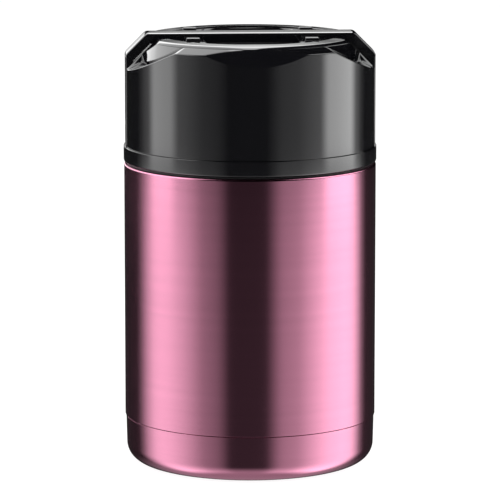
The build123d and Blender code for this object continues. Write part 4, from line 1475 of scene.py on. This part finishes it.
def make_tent_material():
    """A studio tent: gradient panels low down at the sides, and a broad light above and behind.

    Its places are azimuths from the front and elevations from the lid's height, in degrees.
    """
    material = cleared_material("tent_cloth")
    tree = material.node_tree
    axes = add(tree, "ShaderNodeSeparateXYZ", {0: own_place(tree)}).outputs
    turn = maths(tree, "ARCTAN2", axes["X"], maths(tree, "MULTIPLY", axes["Y"], -1.0))
    azimuth = maths(tree, "MULTIPLY", turn, 180 / math.pi)
    rise = maths(tree, "DIVIDE", maths(tree, "SUBTRACT", axes["Z"], TENT_HEIGHT), TENT_RADIUS)
    elevation = maths(tree, "MULTIPLY", maths(tree, "ARCSINE", rise), 180 / math.pi)
    ring = add(tree, "ShaderNodeValToRGB", {0: maths(tree, "MULTIPLY_ADD", azimuth, 1 / 360, 0.5)})
    stops = ring.color_ramp.elements
    for degrees, _ in TENT_RING[1:-1]:
        stops.new(degrees / 360 + 0.5)
    for stop, (_, level) in zip(stops, TENT_RING):
        stop.color = (level, level, level, 1.0)

    def both(first, second):
        return maths(tree, "MULTIPLY", first, second)

    def added(first, second):
        return maths(tree, "ADD", first, second)

    def without(first, second):
        return maths(tree, "SUBTRACT", first, second)

    def rise_over(span, level=1.0):
        return ramp(tree, elevation, *span, 0.0, level)

    def fall_over(span, left=0.0):
        return ramp(tree, elevation, *span, 1.0, left)

    def band(value, start, end, soft, level=1.0):
        rise_in = ramp(tree, value, start - soft, start)
        return both(rise_in, ramp(tree, value, end, end + soft, level, 0.0))

    panels = both(both(ring.outputs[0], TENT_STRENGTH), fall_over(PANEL_STEP, PANEL_STEP_SHARE))
    panels = both(both(panels, rise_over(PANEL_FOOT)), fall_over(PANEL_TOP))

    sky = added(rise_over(SKY_FOOT, SKY_FOOT_GAIN), rise_over(SKY_STEP, SKY_STEP_GAIN))
    behind = ramp(tree, maths(tree, "ABSOLUTE", azimuth), *SKY_SIDES)
    dimmed = both(band(azimuth, *DIM_STRIP, DIM_STRIP_SHARE), rise_over(DIM_STRIP_FOOT))
    shade = without(without(1.0, band(azimuth, *DARK_STRIP)), dimmed)
    sky = both(both(sky, fall_over(SKY_TOP)), both(behind, shade))

    underfoot = ramp(tree, elevation, *UNDERFOOT, UNDERFOOT_LEVEL, 0.0)
    total = added(added(panels, sky), underfoot)
    for sideways, upright, strength in TENT_BOXES:
        total = added(total, both(band(azimuth, *sideways, strength), band(elevation, *upright)))
    glow = add(tree, "ShaderNodeEmission", {"Strength": total})
    add(tree, "ShaderNodeOutputMaterial", {"Surface": glow.outputs[0]})
    return material


def seen_or_mirrored(tree):
    """1 on camera rays and on reflected or refracted ones, and 0 on the others."""
    paths = add(tree, "ShaderNodeLightPath").outputs
    mirrored = maths(tree, "MAXIMUM", paths["Is Glossy Ray"], paths["Is Transmission Ray"])
    return maths(tree, "MAXIMUM", paths["Is Camera Ray"], mirrored)


def make_floor_material(colour):
    """A pale floor that reads white and keeps the jar's shadow."""
    material = cleared_material("studio_floor")
    tree = material.node_tree
    matt = add(tree, "ShaderNodeBsdfDiffuse", {"Color": opaque(colour)})
    bright = add(tree, "ShaderNodeEmission", {"Color": WHITE, "Strength": FLOOR_GLOW})
    share = maths(tree, "MULTIPLY", seen_or_mirrored(tree), FLOOR_GLOW_SHARE)
    mixed = add(tree, "ShaderNodeMixShader", {0: share, 1: matt.outputs[0], 2: bright.outputs[0]})
    from_below = add(tree, "ShaderNodeNewGeometry").outputs["Backfacing"]
    clear = add(tree, "ShaderNodeBsdfTransparent")
    one_sided = add(
        tree, "ShaderNodeMixShader", {0: from_below, 1: mixed.outputs[0], 2: clear.outputs[0]}
    )
    add(tree, "ShaderNodeOutputMaterial", {"Surface": one_sided.outputs[0]})
    return material


def make_world():
    """A white world to the camera and to reflections, and a soft fill to everything else."""
    world = bpy.data.worlds.new("studio")
    bpy.context.scene.world = world
    world.use_nodes = True
    tree = world.node_tree
    tree.nodes.clear()
    strength = ramp(tree, seen_or_mirrored(tree), 0.0, 1.0, SOFT_FILL, 1.0)
    back = add(tree, "ShaderNodeBackground", {"Color": WHITE, "Strength": strength})
    add(tree, "ShaderNodeOutputWorld", {"Surface": back.outputs[0]})


def make_floor(colour):
    """The floor, just under the jar and hidden from reflections."""
    shape = bmesh.new()
    bmesh.ops.create_circle(shape, cap_ends=True, segments=96, radius=FLOOR_RADIUS)
    bmesh.ops.translate(shape, verts=shape.verts, vec=(0.0, 0.0, -0.05))
    floor = new_piece("floor", shape)
    floor.data.materials.append(make_floor_material(colour))
    floor.visible_glossy = False
    return floor


def make_tent():
    """The round tent, seen only in reflections."""
    shape = bmesh.new()
    bmesh.ops.create_uvsphere(shape, u_segments=96, v_segments=48, radius=TENT_RADIUS / MM)
    bmesh.ops.translate(shape, verts=shape.verts, vec=(0.0, 0.0, TENT_HEIGHT / MM))
    bmesh.ops.reverse_faces(shape, faces=shape.faces)
    tent = new_piece("light_tent", shape)
    tent.data.materials.append(make_tent_material())
    tent.visible_camera = tent.visible_diffuse = tent.visible_shadow = False
    return tent


def placed(name, data, place, direction):
    """An object that stands at a place and points along a direction."""
    holder = bpy.data.objects.new(name, data)
    bpy.context.scene.collection.objects.link(holder)
    holder.location = place
    holder.rotation_euler = direction.to_track_quat("-Z", "Y").to_euler()
    return holder


def make_lamps():
    """Three soft lamps that point at the jar and don't show in it."""
    for name, place, size, power in (
        ("left_lamp", (-1.3, -0.5, 0.9), 1.0, 14.0),
        ("right_lamp", (1.3, -0.4, 0.9), 1.0, 16.0),
        ("top_lamp", (0.0, 0.5, 1.7), 1.4, 18.0),
    ):
        lamp = bpy.data.lights.new(name, "AREA")
        lamp.shape, lamp.size, lamp.energy = "DISK", size, power
        placed(name, lamp, place, CAMERA_AIM - Vector(place)).visible_glossy = False


def make_camera():
    """The camera, aimed at the middle of the jar from a little above."""
    camera = bpy.data.cameras.new("camera")
    camera.lens, camera.sensor_width = CAMERA_LENS, 36.0
    camera.clip_end = 20.0
    towards = Vector((
        math.sin(CAMERA_AZIMUTH) * math.cos(CAMERA_ELEVATION),
        -math.cos(CAMERA_AZIMUTH) * math.cos(CAMERA_ELEVATION),
        math.sin(CAMERA_ELEVATION),
    ))
    place = CAMERA_AIM + CAMERA_DISTANCE * towards
    bpy.context.scene.camera = placed("camera", camera, place, -towards)


# ---------------------------------------------------------------- operators, one for each group
class FOODJAR_OT_finishes(bpy.types.Operator):
    """Make the finishes and the trees that the pieces use"""

    bl_idname = "food_jar.finishes"
    bl_label = "Finishes"

    def execute(self, context):
        make_finishes(context.scene.food_jar_colours)
        for make_tree in (make_thread_tree, make_spring_tree, make_rest_pad_tree, make_scallop_tree):
            make_tree()
        return {"FINISHED"}


class FOODJAR_OT_steel_jar(bpy.types.Operator):
    """Build the double-walled steel jar with its base and neck collar"""

    bl_idname = "food_jar.steel_jar"
    bl_label = "Steel Jar"

    def execute(self, context):
        for make_piece in (
            make_outer_shell, make_base_cap, make_base_disc, make_vacuum_plug, make_inner_vessel,
            make_getter, make_neck_collar,
        ):
            make_piece()
        return {"FINISHED"}


class FOODJAR_OT_stopper(bpy.types.Operator):
    """Build the screw-in stopper: seal, shell, base, foam and grip cap"""

    bl_idname = "food_jar.stopper"
    bl_label = "Stopper"

    def execute(self, context):
        for make_piece in (
            make_stopper_seal, make_stopper_shell, make_stopper_base, make_stopper_foam, make_stopper_cap,
        ):
            make_piece()
        return {"FINISHED"}


class FOODJAR_OT_relief_valve(bpy.types.Operator):
    """Build the relief button with its stem, seal and spring"""

    bl_idname = "food_jar.relief_valve"
    bl_label = "Relief Valve"

    def execute(self, context):
        for make_piece in (make_relief_button, make_valve_stem, make_valve_seal, make_button_spring):
            make_piece()
        return {"FINISHED"}


class FOODJAR_OT_lid_liner(bpy.types.Operator):
    """Build the lid's threaded liner, its band and its seal"""

    bl_idname = "food_jar.lid_liner"
    bl_label = "Lid Liner"

    def execute(self, context):
        make_lid_seal()
        make_lid_liner()
        return {"FINISHED"}


class FOODJAR_OT_lid_shell(bpy.types.Operator):
    """Build the faceted lid shell with the strap's channel"""

    bl_idname = "food_jar.lid_shell"
    bl_label = "Lid Shell"

    def execute(self, context):
        make_lid_shell()
        return {"FINISHED"}


class FOODJAR_OT_top_tray(bpy.types.Operator):
    """Build the tray in the lid's top, with its finger well and rest pads"""

    bl_idname = "food_jar.top_tray"
    bl_label = "Top Tray"

    def execute(self, context):
        make_top_tray()
        return {"FINISHED"}


class FOODJAR_OT_handle(bpy.types.Operator):
    """Build the pull-up strap with its slotted arms and the pins they slide on"""

    bl_idname = "food_jar.handle"
    bl_label = "Handle"

    def execute(self, context):
        make_handle_strap()
        make_handle_pins()
        return {"FINISHED"}


class FOODJAR_OT_studio(bpy.types.Operator):
    """Set up the floor, the light tent, the lamps and the camera"""

    bl_idname = "food_jar.studio"
    bl_label = "Studio"

    def execute(self, context):
        context.scene.view_settings.view_transform = "Standard"
        make_world()
        floor, tent = make_floor(context.scene.food_jar_colours.floor), make_tent()
        make_lamps()
        make_camera()
        return {"FINISHED"}


OPERATORS = (
    FOODJAR_OT_finishes, FOODJAR_OT_steel_jar, FOODJAR_OT_stopper, FOODJAR_OT_relief_valve,
    FOODJAR_OT_lid_liner, FOODJAR_OT_lid_shell, FOODJAR_OT_top_tray, FOODJAR_OT_handle, FOODJAR_OT_studio,
)


class FOODJAR_PT_panel(bpy.types.Panel):
    """Lists the jar's pieces and what can be changed on them"""

    bl_idname = "FOODJAR_PT_panel"
    bl_label = "Food Jar"
    bl_space_type = "VIEW_3D"
    bl_region_type = "UI"
    bl_category = "Food Jar"

    def draw(self, context):
        layout = self.layout
        for group in (context.scene.food_jar_sizes, context.scene.food_jar_colours):
            for name in type(group).__annotations__:
                layout.prop(group, name)
        for operator in OPERATORS:
            layout.operator(operator.bl_idname)


CLASSES = (FoodJarSizes, FoodJarColours, *OPERATORS, FOODJAR_PT_panel)


def register():
    """Make the sizes, colours, operators and panel known to Blender."""
    for made in CLASSES:
        bpy.utils.register_class(made)
    bpy.types.Scene.food_jar_sizes = bpy.props.PointerProperty(type=FoodJarSizes)
    bpy.types.Scene.food_jar_colours = bpy.props.PointerProperty(type=FoodJarColours)


def unregister():
    """Take away what register added."""
    del bpy.types.Scene.food_jar_colours
    del bpy.types.Scene.food_jar_sizes
    for made in reversed(CLASSES):
        bpy.utils.unregister_class(made)


def main():
    """Build every piece in order."""
    register()
    for operator in OPERATORS:
        group, name = operator.bl_idname.split(".")
        getattr(getattr(bpy.ops, group), name)()


if __name__ == "__main__":
    main()
